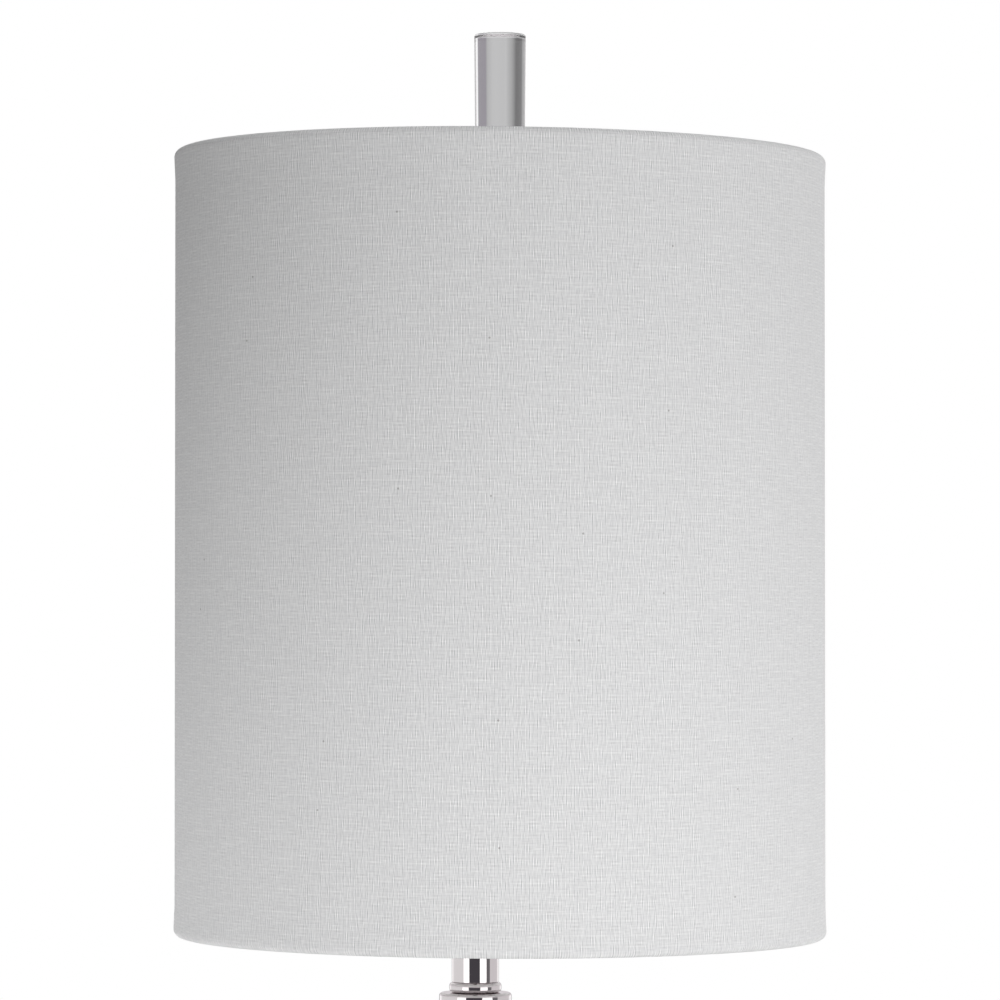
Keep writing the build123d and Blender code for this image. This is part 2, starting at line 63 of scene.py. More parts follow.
# %% [markdown]
# ## The camera
# The photograph was taken with a long lens from about two metres, a little below the middle of the shade,
# so the drum's sides stay almost parallel. A short lens close by would show more of a cone. The place
# below comes from fitting the drum's rims: the two rims bend by different amounts, and that fixes the
# distance and height.

# %% Camera
camera_distance = 2000 * MM
camera_over_rim = 133.7 * MM
focal_length = 184.5
look_up = math.radians(1.039)

bpy.ops.object.select_all(action="DESELECT")
bpy.ops.object.camera_add(
    location=(shade_axis.x, -camera_distance, shade_low.z + camera_over_rim),
    rotation=(math.radians(90) + look_up, 0, 0),
)
camera = bpy.context.object
camera.data.lens = focal_length
camera.data.sensor_width = 36
bpy.context.scene.camera = camera
bpy.context.scene.view_settings.view_transform = "Standard"
print("camera at", [round(v, 3) for v in camera.location])

# %% [markdown]
# ## Nodes and colours
# Every finish below is a small node tree. One function turns a hex colour, as a paint chart gives it,
# into the linear values that a shader takes, and one adds a node with its settings, values and links in a
# single call.


# %% Helpers for finishes
def colour(code):
    """Turns an sRGB hex code into the linear colour that a shader takes."""
    parts = [int(code[i : i + 2], 16) / 255 for i in (1, 3, 5)]
    return [p / 12.92 if p <= 0.04045 else ((p + 0.055) / 1.055) ** 2.4 for p in parts] + [1.0]


def add_node(tree, kind, inputs=None, **settings):
    """Adds one node; inputs holds values, or the sockets that feed it."""
    node = tree.nodes.new("ShaderNode" + kind)
    for key, value in settings.items():
        setattr(node, key, value)
    for key, value in (inputs or {}).items():
        if isinstance(value, bpy.types.NodeSocket):
            tree.links.new(value, node.inputs[key])
        else:
            node.inputs[key].default_value = value
    return node


print("middle grey in linear light:", round(colour("#808080")[0], 3))

# %% [markdown]
# ## The studio
# A white sweep surrounds the lamp. The camera, metal and glass all see that white, while cloth gets only
# a soft share of it, so that the linen keeps its grey shading. Asking the Light Path node what kind of
# ray has arrived is the plain way to do both.


# %% World
def seen_directly(tree):
    """Gives 1 to rays from the camera, mirrors and glass, and 0 to the light that cloth gathers."""
    ray = add_node(tree, "LightPath").outputs
    seen = add_node(tree, "Math", {0: ray["Is Camera Ray"], 1: ray["Is Glossy Ray"]}, use_clamp=True)
    seen = add_node(tree, "Math", {0: seen.outputs[0], 1: ray["Is Transmission Ray"]}, use_clamp=True)
    return seen.outputs[0]


fill_level = 0.076
world = bpy.data.worlds.new("white_sweep")
world.use_nodes = True
bpy.context.scene.world = world
tree = world.node_tree
seen = seen_directly(tree)
level = add_node(tree, "Mix", {0: seen, 2: fill_level, 3: 1.0}, data_type="FLOAT")
sweep = tree.nodes["Background"]
tree.links.new(level.outputs[0], sweep.inputs["Color"])
sweep.inputs["Strength"].default_value = 1.0
print("world fill for cloth:", fill_level)

# %% [markdown]
# ## Soft light
# These panels light the cloth and the floor, and metal and glass don't see them. The linen is darkest at
# its upper left, so the strongest panels stand high in front, on the right and low down. Three behind
# light the back, and a small one inside the shade keeps the liner from going black. Each panel's glow is
# a brightness as the eye sees it; Blender wants watts, and a flat panel gives pi watts per square metre
# of glow.


# %% Light panels
def softbox(name, azimuth, distance, height, width, tall, glow, aim):
    """Adds a panel that faces the lamp; azimuth counts from the camera's side towards +X."""
    angle = math.radians(azimuth)
    place = shade_axis + Vector((distance * math.sin(angle), -distance * math.cos(angle), height))
    facing = shade_axis + up * aim - place
    bpy.ops.object.light_add(type="AREA", location=place, rotation=facing.to_track_quat("-Z", "Y").to_euler())
    panel = bpy.context.object
    panel.name = name
    panel.data.shape = "RECTANGLE"
    panel.data.size = width
    panel.data.size_y = tall
    panel.data.energy = glow * math.pi * width * tall
    panel.visible_camera = False
    panel.visible_transmission = False
    panel.visible_glossy = False
    return panel


panels = [
    # name, azimuth, distance, height, width, tall, glow, aim
    ("softbox_right", 40, 1.7, 0.55, 1.1, 1.0, 0.66, 0.66),
    ("softbox_high", 20, 1.7, 1.70, 1.2, 0.8, 3.36, 0.66),
    ("overhead", 0, 0.02, 2.2, 1.2, 1.2, 2.0, 0.66),
    ("side_right", 105, 1.6, 0.60, 1.2, 1.3, 1.25, 0.66),
    ("rear_left", -150, 1.9, 0.80, 1.1, 1.2, 0.2, 0.66),
    ("rear_right", 150, 1.9, 0.80, 1.1, 1.2, 2.0, 0.66),
    ("rear", 180, 1.9, 0.80, 0.6, 1.2, 3.0, 0.66),
    ("low_left", -95, 0.45, 0.42, 0.4, 0.25, 1.76, 0.55),
    ("low_left_front", -35, 0.7, 0.40, 0.5, 0.3, 2.37, 0.55),
    ("low_front", 5, 0.7, 0.40, 0.5, 0.3, 1.83, 0.55),
    ("low_right", 60, 0.8, 0.36, 0.6, 0.3, 2.56, 0.55),
    ("inside_fill", 0, 0.0, 0.506, 0.15, 0.15, 1.7, 0.9),
]
for panel in panels:
    softbox(*panel)
print("light panels:", len(panels))

# %% [markdown]
# ## Drawing by hand
# Most of this lamp is turned on a lathe, and a lathe is easy to copy: pull one vertex out into half of
# the outline, round its corners with a vertex bevel, and spin it about the axis. A stock cylinder would
# need every groove cut in afterwards. The same pulled-out line, left unspun, is the path of a bent wire.

# %% Drawing tools
TOUCH = 0.005 * MM


def start_piece(name):
    """Adds one vertex at the origin to draw a piece from, and stays in edit mode."""
    bpy.ops.object.select_all(action="DESELECT")
    bpy.ops.mesh.primitive_plane_add(size=MM)
    piece = bpy.context.object
    piece.name = name
    piece.data.name = name
    bpy.ops.object.mode_set(mode="EDIT")
    bpy.ops.mesh.merge(type="CENTER")
    return piece


def select_points(piece, test):
    """Selects the vertices, in edit mode, whose place passes a test."""
    mesh = bmesh.from_edit_mesh(piece.data)
    for point in mesh.verts:
        point.select_set(test(point.co))
    mesh.select_flush_mode()
    bmesh.update_edit_mesh(piece.data)


def pull_line(piece, places, roundings, closed, segments):
    """Pulls the lone vertex along a row of places and rounds its corners."""
    bpy.ops.transform.translate(value=places[0])
    for here, there in zip(places, places[1:]):
        bpy.ops.mesh.extrude_vertices_move(TRANSFORM_OT_translate={"value": there - here})
    if closed:
        select_points(piece, lambda co: min((co - places[0]).length, (co - places[-1]).length) < TOUCH)
        bpy.ops.mesh.edge_face_add()
    for i, rounding in enumerate(roundings):
        if rounding:
            corner = places[i]
            turn = (corner - places[i - 1]).angle(places[(i + 1) % len(places)] - corner)
            select_points(piece, lambda co: (co - corner).length < TOUCH)
            bpy.ops.mesh.bevel(offset=rounding * math.tan(turn / 2), segments=segments, affect="VERTICES")


def close_up(piece):
    """Merges doubles, turns the faces outwards and leaves edit mode."""
    bpy.ops.mesh.select_all(action="SELECT")
    bpy.ops.mesh.remove_doubles(threshold=TOUCH)
    bpy.ops.mesh.normals_make_consistent(inside=False)
    bpy.ops.object.mode_set(mode="OBJECT")
    return piece


print("points closer than this merge, in mm:", TOUCH / MM)

# %% Lathe and wire bender
lathe_steps = 96
wire_resolution = 6


def turn_piece(name, corners, foot=lamp_axis, along=up, steps=lathe_steps, closed=True, segments=6):
    """Turns a piece on a lathe from (radius, height, rounding) corners about an axis."""
    piece = start_piece(name)
    out = Vector((1, 0, 0))
    places = [foot + out * corner[0] + along * corner[1] for corner in corners]
    roundings = [corner[2] if len(corner) > 2 else 0 for corner in corners]
    pull_line(piece, places, roundings, closed, segments)
    bpy.ops.mesh.select_all(action="SELECT")
    bpy.ops.mesh.spin(steps=steps, angle=math.tau, center=foot, axis=along)
    return close_up(piece)


def bend_wire(name, places, bends, diameter, segments=16):
    """Bends a round wire through a row of places with a bend's radius at each."""
    piece = start_piece(name)
    pull_line(piece, places, bends, False, segments)
    bpy.ops.object.mode_set(mode="OBJECT")
    bpy.ops.object.convert(target="CURVE")
    line = bpy.context.object
    line.data.bevel_depth = diameter / 2
    line.data.bevel_resolution = wire_resolution
    line.data.use_fill_caps = True
    bpy.ops.object.convert(target="MESH")
    piece = bpy.context.object
    piece.data.name = name
    bpy.ops.object.mode_set(mode="EDIT")
    return close_up(piece)


print("lathe steps:", lathe_steps, "and a wire's bevel resolution:", wire_resolution)

# %% Cutting and finishing
smooth_below = 35
finishes = {}


def only(piece):
    """Selects one object alone and makes it active."""
    bpy.ops.object.select_all(action="DESELECT")
    piece.select_set(True)
    bpy.context.view_layer.objects.active = piece


def apply_modifier(piece, kind, **settings):
    """Adds a modifier with its settings and applies it."""
    only(piece)
    modifier = piece.modifiers.new(kind.lower(), kind)
    for key, value in settings.items():
        setattr(modifier, key, value)
    bpy.ops.object.modifier_apply(modifier=modifier.name)


def cut_away(piece, cutter):
    """Cuts a second object out of a piece and deletes it."""
    apply_modifier(piece, "BOOLEAN", operation="DIFFERENCE", solver="EXACT", object=cutter)
    bpy.data.objects.remove(cutter)


def drill_bit(radius, start, end):
    """A cylinder from one point to another, to cut holes with."""
    bpy.ops.object.select_all(action="DESELECT")
    way = end - start
    bpy.ops.mesh.primitive_cylinder_add(
        vertices=48,
        radius=radius,
        depth=way.length,
        location=(start + end) / 2,
        rotation=way.to_track_quat("Z", "Y").to_euler(),
    )
    return bpy.context.object


def span(node):
    """Radius, lowest and highest level of a round CAD node."""
    low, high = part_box(node)
    return (high.x - low.x) / 2, low.z, high.z


def finish_piece(piece, slot, body, *nodes):
    """Smooths a piece, gives it its finish, hides the CAD nodes it stands for and hangs it on the body it
    moves with.
    """
    only(piece)
    bpy.ops.object.shade_smooth_by_angle(angle=math.radians(smooth_below))
    apply_modifier(piece, "WEIGHTED_NORMAL", keep_sharp=True)
    piece.data.materials.clear()
    piece.data.materials.append(finishes[slot])
    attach(piece, body)
    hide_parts(*nodes)
    print(f"{piece.name}: {len(piece.data.polygons)} faces, {slot}, moves with {body}")
    return piece


print("edges stay sharp from", smooth_below, "degrees")

# %% [markdown]
# ## Painted screens
# Polished metal and glass show the room, so the room is painted on two screens that only they can see.
# The nickel wants two white stripes with a near-black one between them. The crystal rod is a strong lens:
# its left side shows what stands behind on the right, so its greys are painted in mirror order. Each
# screen lies on the floor from the base outwards and then stands up as a wall: one bent line, spun right
# round the lamp. A colour ramp paints it by compass bearing, and a band at one height is paler.


# %% Screen painter
def screen(name, bearings, side, blend, glow, rays, distance, low, pale_band):
    """Spins a screen round the lamp and paints it; side 1 counts from the camera, -1 from straight behind."""
    near, high = 0.085, 1.9
    first, last = math.radians(bearings[0][0]), math.radians(bearings[-1][0])
    piece = start_piece(name)
    outward = Vector((math.sin(first), -math.cos(first), 0)) * side
    inner = shade_axis + outward * near + up * low
    foot = shade_axis + outward * distance + up * low
    pull_line(piece, [inner, foot, foot + up * (high - low)], [], False, 1)
    bpy.ops.mesh.select_all(action="SELECT")
    bpy.ops.mesh.spin(steps=72, angle=first - last, center=shade_axis, axis=up)
    bpy.ops.object.mode_set(mode="OBJECT")
    paint = bpy.data.materials.new(name)
    paint.use_nodes = True
    tree = paint.node_tree
    place = add_node(tree, "TexCoord").outputs["Object"]
    place = add_node(tree, "Mapping", {"Vector": place, "Scale": (side, -side, 1)}).outputs[0]
    place = add_node(tree, "SeparateXYZ", {0: place}).outputs
    bearing = add_node(tree, "Math", {0: place["X"], 1: place["Y"]}, operation="ARCTAN2").outputs[0]
    along = add_node(tree, "MapRange", {0: bearing, 1: first, 2: last}).outputs[0]
    ramp = add_node(tree, "ValToRGB", {0: along})
    ramp.color_ramp.interpolation = blend
    while len(ramp.color_ramp.elements) < len(bearings):
        ramp.color_ramp.elements.new(1.0)
    for stop, (degrees, tint) in zip(ramp.color_ramp.elements, bearings):
        stop.position = (math.radians(degrees) - first) / (last - first)
        stop.color = colour(tint)
    middle, half, soft, share, tint = pale_band
    away = add_node(tree, "Math", {0: place["Z"], 1: middle}, operation="SUBTRACT").outputs[0]
    away = add_node(tree, "Math", {0: away}, operation="ABSOLUTE").outputs[0]
    pale = add_node(tree, "MapRange", {0: away, 1: half, 2: half + soft, 3: share, 4: 0.0}).outputs[0]
    paled = add_node(tree, "Mix", {0: pale, 6: ramp.outputs[0], 7: colour(tint)}, data_type="RGBA")
    light = add_node(tree, "Emission", {"Color": paled.outputs[2], "Strength": glow})
    tree.links.new(light.outputs[0], tree.nodes["Material Output"].inputs["Surface"])
    piece.data.materials.append(paint)
    piece.visible_camera = False
    piece.visible_diffuse = False
    piece.visible_shadow = False
    piece.visible_glossy = rays == "metal"
    piece.visible_transmission = rays == "crystal"
    middle = sum((v.co for v in piece.data.vertices), Vector()) / len(piece.data.vertices)
    print(name, "has", len(bearings), "stops; its middle is at", [round(v, 2) for v in middle])


# %% Screen for the nickel
round_the_lamp = [
    # bearing from the camera's side towards +X, and half the brightness seen from there on
    (-180, "#4A484B"),
    (-163, "#D2D2D2"),
    (-135, "#BCBCBC"),
    (-59.5, "#FFFFFF"),
    (-29.7, "#3A383C"),
    (21.9, "#FFFFFF"),
    (56, "#5A595B"),
    (75, "#B1AFB0"),
    (135, "#D2D2D2"),
    (163, "#4A484B"),
    (180, "#4A484B"),
]
# flat tops look up at the screen, so it is paler from 0.3 m upwards
above = (1.3, 0.7, 0.3, 0.75, "#B4B0B2")
screen("screen_for_nickel", round_the_lamp, 1, "CONSTANT", 2.0, "metal", 4.0, 0.002, above)

# %% Screen for the crystal
behind_the_rod = [
    # bearing from straight behind towards -X, and the brightness there
    (-180, "#B4B4B4"),
    (-150, "#E0E0E0"),
    (-120, "#9A9A9A"),
    (-66, "#A0A0A0"),
    (-64, "#FFFFFF"),
    (-51.5, "#FFFFFF"),
    (-50, "#8C888F"),
    (-25, "#8F8B92"),
    (-22, "#ABABAB"),
    (-8, "#C1C1C1"),
    (8, "#BEBEBE"),
    (15, "#A9A9A9"),
    (22, "#959595"),
    (29, "#636363"),
    (49, "#666666"),
    (51, "#909090"),
    (82, "#909090"),
    (110, "#C8C8C8"),
    (125, "#8A8A8A"),
    (155, "#D8D8D8"),
    (180, "#B4B4B4"),
]
# the rod's flat end mirrors this band of white in the main view
beside = (0.62, 0.07, 0.03, 1.0, "#FFFFFF")
screen("screen_for_crystal", behind_the_rod, -1, "LINEAR", 1.0, "crystal", 2.4, 0.004, beside)

# %% [markdown]
# ## The floor
# A wide sheet of pale paper carries the lamp's shadow. Further out it turns into the white of the sweep
# for the camera, metal and glass, and cloth still gets only the light that real paper throws back.

# %% Floor
floor_radius = 3.0
bpy.ops.object.select_all(action="DESELECT")
bpy.ops.mesh.primitive_circle_add(vertices=128, radius=floor_radius, fill_type="NGON")
floor = bpy.context.object
floor.name = "floor"
paper = bpy.data.materials.new("matt_paper_floor")
paper.use_nodes = True
tree = paper.node_tree
place = add_node(tree, "TexCoord").outputs["Object"]
tooth = add_node(tree, "TexNoise", {"Vector": place, "Scale": 1 / (4 * MM), "Detail": 2.0})
bump = add_node(tree, "Bump", {"Height": tooth.outputs[0], "Strength": 0.05, "Distance": 0.2 * MM})
shader = tree.nodes["Principled BSDF"]
shader.inputs["Base Color"].default_value = colour("#EDEDEB")
shader.inputs["Roughness"].default_value = 0.8
tree.links.new(bump.outputs[0], shader.inputs["Normal"])
seen = seen_directly(tree)
away = add_node(tree, "VectorMath", {0: place}, operation="LENGTH").outputs["Value"]
paper_end, white_start, white_near = 0.1, 1.1, 0.32
fade_range = {0: away, 1: paper_end, 2: white_start, 3: white_near, 4: 1.0}
fade = add_node(tree, "MapRange", fade_range, interpolation_type="SMOOTHSTEP")
fade = add_node(tree, "Math", {0: fade.outputs[0], 1: seen}, operation="MULTIPLY").outputs[0]
white = add_node(tree, "Emission", {"Color": colour("#FFFFFF"), "Strength": 1.0}).outputs[0]
blend = add_node(tree, "MixShader", {0: fade, 1: shader.outputs[0], 2: white}).outputs[0]
tree.links.new(blend, tree.nodes["Material Output"].inputs["Surface"])
floor.data.materials.append(paper)
print("floor radius", floor_radius, "m")

# %% [markdown]
# ## Linen
# The shade's cloth is a plain weave of undyed, bleached flax. Warp threads run up the drum about a
# millimetre apart, the weft is a little wider, and flax is uneven: threads swell, fade and end in short
# slubs, with now and then a dark fleck of straw. Two waves on the cloth's own map are the threads. The gaps
# between them are painted darker as shade, and their crowns are painted paler as a highlight. Noise
# stretched along them makes them swell and fade, and a few stray weft threads run on for a few
# centimetres, a little lighter. The threads are under three pixels wide, so the render softens them, and
# their contrast is drawn high for that.


# %% Cloth tools
def blank_finish(name):
    """A new material with its node tree and its shader."""
    material = bpy.data.materials.new(name)
    material.use_nodes = True
    return material, material.node_tree, material.node_tree.nodes["Principled BSDF"]


def yarn_drift(tree, cloth, across, along):
    """Slow changes of tone along threads: noise whose grain is across by along metres."""
    grain = add_node(tree, "Mapping", {"Vector": cloth, "Scale": (1 / across, 1 / along, 1.0)}).outputs[0]
    drift = add_node(tree, "TexNoise", {"Vector": grain, "Scale": 1.0, "Detail": 1.0}, noise_dimensions="2D")
    return drift.outputs[0]


# %% Threads of the linen
warp_pitch = 0.98 * MM
weft_pitch = 1.4 * MM
wave_scale = math.tau / 20
material, tree, shader = blank_finish("plain_woven_linen")
cloth = add_node(tree, "UVMap", uv_map="cloth").outputs[0]
uneven = {"Vector": cloth, "Distortion": 2.0, "Detail": 1.0, "Detail Scale": 0.15}
warp = add_node(tree, "TexWave", uneven | {"Scale": wave_scale / warp_pitch}, bands_direction="X").outputs[1]
weft = add_node(tree, "TexWave", uneven | {"Scale": wave_scale / weft_pitch}, bands_direction="Y").outputs[1]
warp = add_node(tree, "MapRange", {0: warp, 3: -1.0, 4: 1.0}).outputs[0]
weft = add_node(tree, "MapRange", {0: weft, 3: -1.0, 4: 1.0}).outputs[0]
swell = yarn_drift(tree, cloth, 1.5 * warp_pitch, 4.2 * MM)
swell = add_node(tree, "MapRange", {0: swell, 1: 0.2, 2: 0.8, 3: -0.3, 4: 0.49}).outputs[0]
slub = yarn_drift(tree, cloth, 5 * MM, weft_pitch)
slub = add_node(tree, "MapRange", {0: slub, 1: 0.2, 2: 0.8, 3: -0.11, 4: 0.18}).outputs[0]
weft = add_node(tree, "Math", {0: weft, 1: slub, 2: 0.46}, operation="MULTIPLY_ADD").outputs[0]
tone = add_node(tree, "Math", {0: warp, 1: swell, 2: weft}, operation="MULTIPLY_ADD").outputs[0]
stray = yarn_drift(tree, cloth, 26 * MM, 0.5 * weft_pitch)
stray = add_node(tree, "MapRange", {0: stray, 1: 0.5, 2: 0.75, 3: 0.0, 4: 0.06}).outputs[0]
tone = add_node(tree, "Math", {0: tone, 1: stray}).outputs[0]
# the ramp's dark end is painted shade in the gaps between threads, and its pale end is a painted highlight on
# their crowns
yarn_tone_and_gap_shade = add_node(tree, "ValToRGB", {0: tone})
yarn_tone_and_gap_shade.color_ramp.elements[0].color = colour("#BEBEC0")
yarn_tone_and_gap_shade.color_ramp.elements[1].color = colour("#FBFBFB")
print("linen warp and weft in mm:", round(warp_pitch / MM, 2), round(weft_pitch / MM, 2))

# %% Flecks and finish of the linen
straw_cell = 34 * MM
straw_size = 0.4 * MM / straw_cell
cells = {"Vector": cloth, "Scale": 1 / straw_cell}
straw = add_node(tree, "TexVoronoi", cells, voronoi_dimensions="2D").outputs
speck = add_node(tree, "Math", {0: straw["Distance"], 1: straw_size}, operation="LESS_THAN").outputs[0]
red = add_node(tree, "SeparateColor", {0: straw["Color"]}).outputs[0]
rare = add_node(tree, "MapRange", {0: red, 1: 0.82, 2: 0.84, 3: 0.0, 4: 0.5}).outputs[0]
fleck = add_node(tree, "Math", {0: speck, 1: rare}, operation="MULTIPLY").outputs[0]
# the straw flecks are the flax's own colour, and the colour around them keeps the painted gap shade and crown
# highlight
flecked = {0: fleck, 6: yarn_tone_and_gap_shade.outputs[0], 7: colour("#77726E")}
linen_colour_and_gap_shade = add_node(tree, "Mix", flecked, data_type="RGBA").outputs[2]
bump = add_node(tree, "Bump", {"Height": tone, "Strength": 0.5, "Distance": 0.08 * MM})
tree.links.new(linen_colour_and_gap_shade, shader.inputs["Base Color"])
tree.links.new(bump.outputs[0], shader.inputs["Normal"])
shader.inputs["Roughness"].default_value = 0.92
shader.inputs["Specular IOR Level"].default_value = 0.05
shader.inputs["Sheen Weight"].default_value = 0.03
shader.inputs["Sheen Roughness"].default_value = 0.6
finishes["white_linen"] = material
print("room that each fleck of straw has, in mm:", round(straw_cell / MM))

# %% [markdown]
# ## Bright metals
# Nickel plate is a mirror with a faint warm tint, so nearly all of its look is the room that it shows.
# What a plain chrome ball lacks is the haze: polished tube is a touch softer in patches a few centimetres
# wide, where it was handled. Brass, zinc plate and the bulb's thin cap differ only in tint, haze and the
# size of the patches.


# %% Metals
def bright_metal(name, pale, deep, patch, rough_low, rough_high):
    """A metal whose tint and haze drift a little over patches of a real size."""
    material, tree, shader = blank_finish(name)
    place = add_node(tree, "TexCoord").outputs["Object"]
    haze = add_node(tree, "TexNoise", {"Vector": place, "Scale": 1 / patch, "Detail": 4.0}).outputs[0]
    tint = add_node(tree, "Mix", {0: haze, 6: colour(pale), 7: colour(deep)}, data_type="RGBA")
    rough = add_node(tree, "MapRange", {0: haze, 1: 0.3, 2: 0.7, 3: rough_low, 4: rough_high})
    tree.links.new(tint.outputs[2], shader.inputs["Base Color"])
    tree.links.new(rough.outputs[0], shader.inputs["Roughness"])
    shader.inputs["Metallic"].default_value = 1.0
    return material


# polished nickel: a near mirror, faintly rosy
finishes["polished_nickel"] = bright_metal(
    "polished_nickel_plate", "#D2CDCE", "#CEC9CA", 30 * MM, 0.015, 0.045
)
# plated wire and strip: bright, with a trace of the drawn grain
finishes["nickel_wire"] = bright_metal("bright_nickel_on_wire", "#CFCBC8", "#BFBBB8", 8 * MM, 0.10, 0.20)
# spun socket shell: softer, thinner plate
finishes["nickel_shell"] = bright_metal("nickel_on_spun_shell", "#CCC7C2", "#B9B4AE", 10 * MM, 0.14, 0.24)
# turned brass: yellow and bright
finishes["turned_brass"] = bright_metal("turned_brass", "#E2C27A", "#C9A45A", 4 * MM, 0.16, 0.28)
# zinc plate: bluish grey with a cloudy spangle
finishes["zinc_steel"] = bright_metal("zinc_plated_steel", "#C3C6C9", "#9EA2A6", 5 * MM, 0.28, 0.42)
# the bulb's cap: thin rolled aluminium, half matt
finishes["bulb_metal"] = bright_metal("rolled_aluminium", "#DADBDC", "#C2C3C5", 6 * MM, 0.22, 0.34)
print("metals:", len(finishes) - 1)

# %% [markdown]
# ## Crystal
# The finial's rod is solid lead-free crystal, cut and polished. It has no colour of its own: it bends the
# room behind it into upright stripes. Real glass needs a true refracting shader, so nothing is painted on
# it. Polishing leaves ripples far too small to see, and a bump of a few thousandths of a millimetre keeps
# the stripes alive.

# %% Crystal
material, tree, shader = blank_finish("polished_crystal")
place = add_node(tree, "TexCoord").outputs["Object"]
ripple = add_node(tree, "TexNoise", {"Vector": place, "Scale": 1 / (9 * MM), "Detail": 1.0}).outputs[0]
bump = add_node(tree, "Bump", {"Height": ripple, "Strength": 0.15, "Distance": 0.02 * MM})
tree.links.new(bump.outputs[0], shader.inputs["Normal"])
shader.inputs["Base Color"].default_value = colour("#FCFCFD")
shader.inputs["Roughness"].default_value = 0.0
shader.inputs["IOR"].default_value = 1.52
shader.inputs["Transmission Weight"].default_value = 1.0
finishes["clear_crystal"] = material
# light runs down the rod and back by many inner reflections, and each of them is followed
bpy.context.scene.cycles.glossy_bounces = 12
print("crystal IOR", round(shader.inputs["IOR"].default_value, 2))

# %% [markdown]
# ## Plastics, board, iron and felt
# The rest is out of the light but still has a surface: moulded plastics with a faint orange-peel skin,
# pressed board flecked with fibre, iron with its sand-cast grain, and felt whose hairs lie every way. One
# function mixes two tones by a grain of a real size and raises the same grain as bump.


# %% Moulded, pressed and cast finishes
def grained(name, pale, deep, grain, rough, depth, stretch=(1, 1, 1)):
    """A finish of two tones mixed by a grain of a real size, raised by a real depth."""
    material, tree, shader = blank_finish(name)
    place = add_node(tree, "TexCoord").outputs["Object"]
    place = add_node(tree, "Mapping", {"Vector": place, "Scale": stretch}).outputs[0]
    grains = add_node(tree, "TexNoise", {"Vector": place, "Scale": 1 / grain, "Detail": 5.0}).outputs[0]
    mixed = add_node(tree, "MapRange", {0: grains, 1: 0.35, 2: 0.65}).outputs[0]
    tint = add_node(tree, "Mix", {0: mixed, 6: colour(deep), 7: colour(pale)}, data_type="RGBA")
    bump = add_node(tree, "Bump", {"Height": grains, "Strength": 0.6, "Distance": depth})
    tree.links.new(tint.outputs[2], shader.inputs["Base Color"])
    tree.links.new(bump.outputs[0], shader.inputs["Normal"])
    shader.inputs["Roughness"].default_value = rough
    return material


# styrene liner: smooth white sheet with a satin skin
finishes["styrene"] = grained("satin_styrene_sheet", "#F1F1F1", "#EDEDED", 12 * MM, 0.45, 0.01 * MM)
# black phenolic: hard, half glossy moulding
finishes["black_phenolic"] = grained("moulded_phenolic", "#222120", "#161515", 1.2 * MM, 0.32, 0.01 * MM)
# black nylon: waxy moulding
finishes["black_nylon"] = grained("moulded_nylon", "#27272A", "#1B1B1D", 0.8 * MM, 0.48, 0.02 * MM)
# fibre board: brown, flecked with pressed fibres
finishes["fibre_board"] = grained("pressed_fibre_board", "#B4946A", "#86683F", 0.9 * MM, 0.9, 0.1 * MM)
# cast iron: dark, rough from its sand mould
finishes["cast_iron"] = grained("sand_cast_iron", "#4A4845", "#2E2C2A", 1.6 * MM, 0.75, 0.25 * MM)
# felt: matt black hairs that lie flat
finishes["black_felt"] = grained("pressed_felt", "#3A393A", "#171717", 0.7 * MM, 1.0, 0.3 * MM, (1, 1, 3))
# the bulb's body: glossy white moulding
finishes["white_plastic"] = grained("glossy_white_moulding", "#F0F0EE", "#E9E9E7", 6 * MM, 0.22, 0.01 * MM)
# the bulb's dome: frosted opal that looks soft
finishes["opal_plastic"] = grained("frosted_opal", "#F7F6F2", "#EFEEE9", 10 * MM, 0.5, 0.01 * MM)
print("finishes in all:", len(finishes))

# %% [markdown]
# ## The linen skin
# A shop-made drum is linen laminated to a stiff sheet, with its edges turned in round a wire ring at each
# rim. The wall is drawn in a fraction of a millimetre between the rings, the fold is a small roll, and
# the cloth's two ends lap in a seam at the back. One profile holds wall, roll and tucked hem, and the lap
# is three columns of faces pulled out. 198 steps put a face, and not an edge, in the middle of the back.
# A drum made by hand is never quite true either: both rims sit a fraction of a degree out of level, and a
# lattice of eight points leans them.

# %% Lean of the rims
rim_lean_top = -0.0103
rim_lean_bottom = -0.0042
reach = 1.05 * (shade_high - shade_low)
bpy.ops.object.select_all(action="DESELECT")
bpy.ops.object.add(type="LATTICE", location=(shade_low + shade_high) / 2)
drum_lattice = bpy.context.object
drum_lattice.scale = reach
cage = drum_lattice.data
cage.interpolation_type_u = cage.interpolation_type_v = cage.interpolation_type_w = "KEY_LINEAR"
for corner in cage.points:
    lean = rim_lean_top if corner.co.z > 0 else rim_lean_bottom
    corner.co_deform.z += corner.co.x * reach.x * lean / reach.z
print("rims lean by degrees:", [round(math.degrees(lean), 2) for lean in (rim_lean_top, rim_lean_bottom)])

# %% Linen skin
cloth_thick = 0.7 * MM
rim_swell = 0.4 * MM
swell_reach = 12 * MM
hem_tuck = 2.4 * MM
seam_lift = 0.4 * MM
shade_steps = 198
rim, rim_bottom, rim_top = span("shade_fabric")
ring_r, ring_bottom, ring_top = span("shade_top_ring")
wall = rim - rim_swell
hem = ring_r - (ring_top - ring_bottom) - 0.1 * MM
fold = (rim - hem + cloth_thick) / 2
fold_in = fold - cloth_thick
inside = rim - 2 * fold
top_half = [
    (wall, rim_top - swell_reach, 30 * MM),
    (rim, rim_top - fold),
    (rim, rim_top, fold * 0.999),
    (inside, rim_top, fold * 0.999),
    (inside, rim_top - fold - hem_tuck),
    (inside + cloth_thick, rim_top - fold - hem_tuck),
    (inside + cloth_thick, rim_top - cloth_thick, fold_in * 0.999),
    (rim - cloth_thick, rim_top - cloth_thick, fold_in * 0.999),
    (rim - cloth_thick, rim_top - fold),
    (wall - cloth_thick, rim_top - swell_reach),
]
bottom_half = [(corner[0], rim_bottom + rim_top - corner[1], *corner[2:]) for corner in reversed(top_half)]
linen = turn_piece("linen_drum", top_half + bottom_half, shade_axis, steps=shade_steps, segments=8)


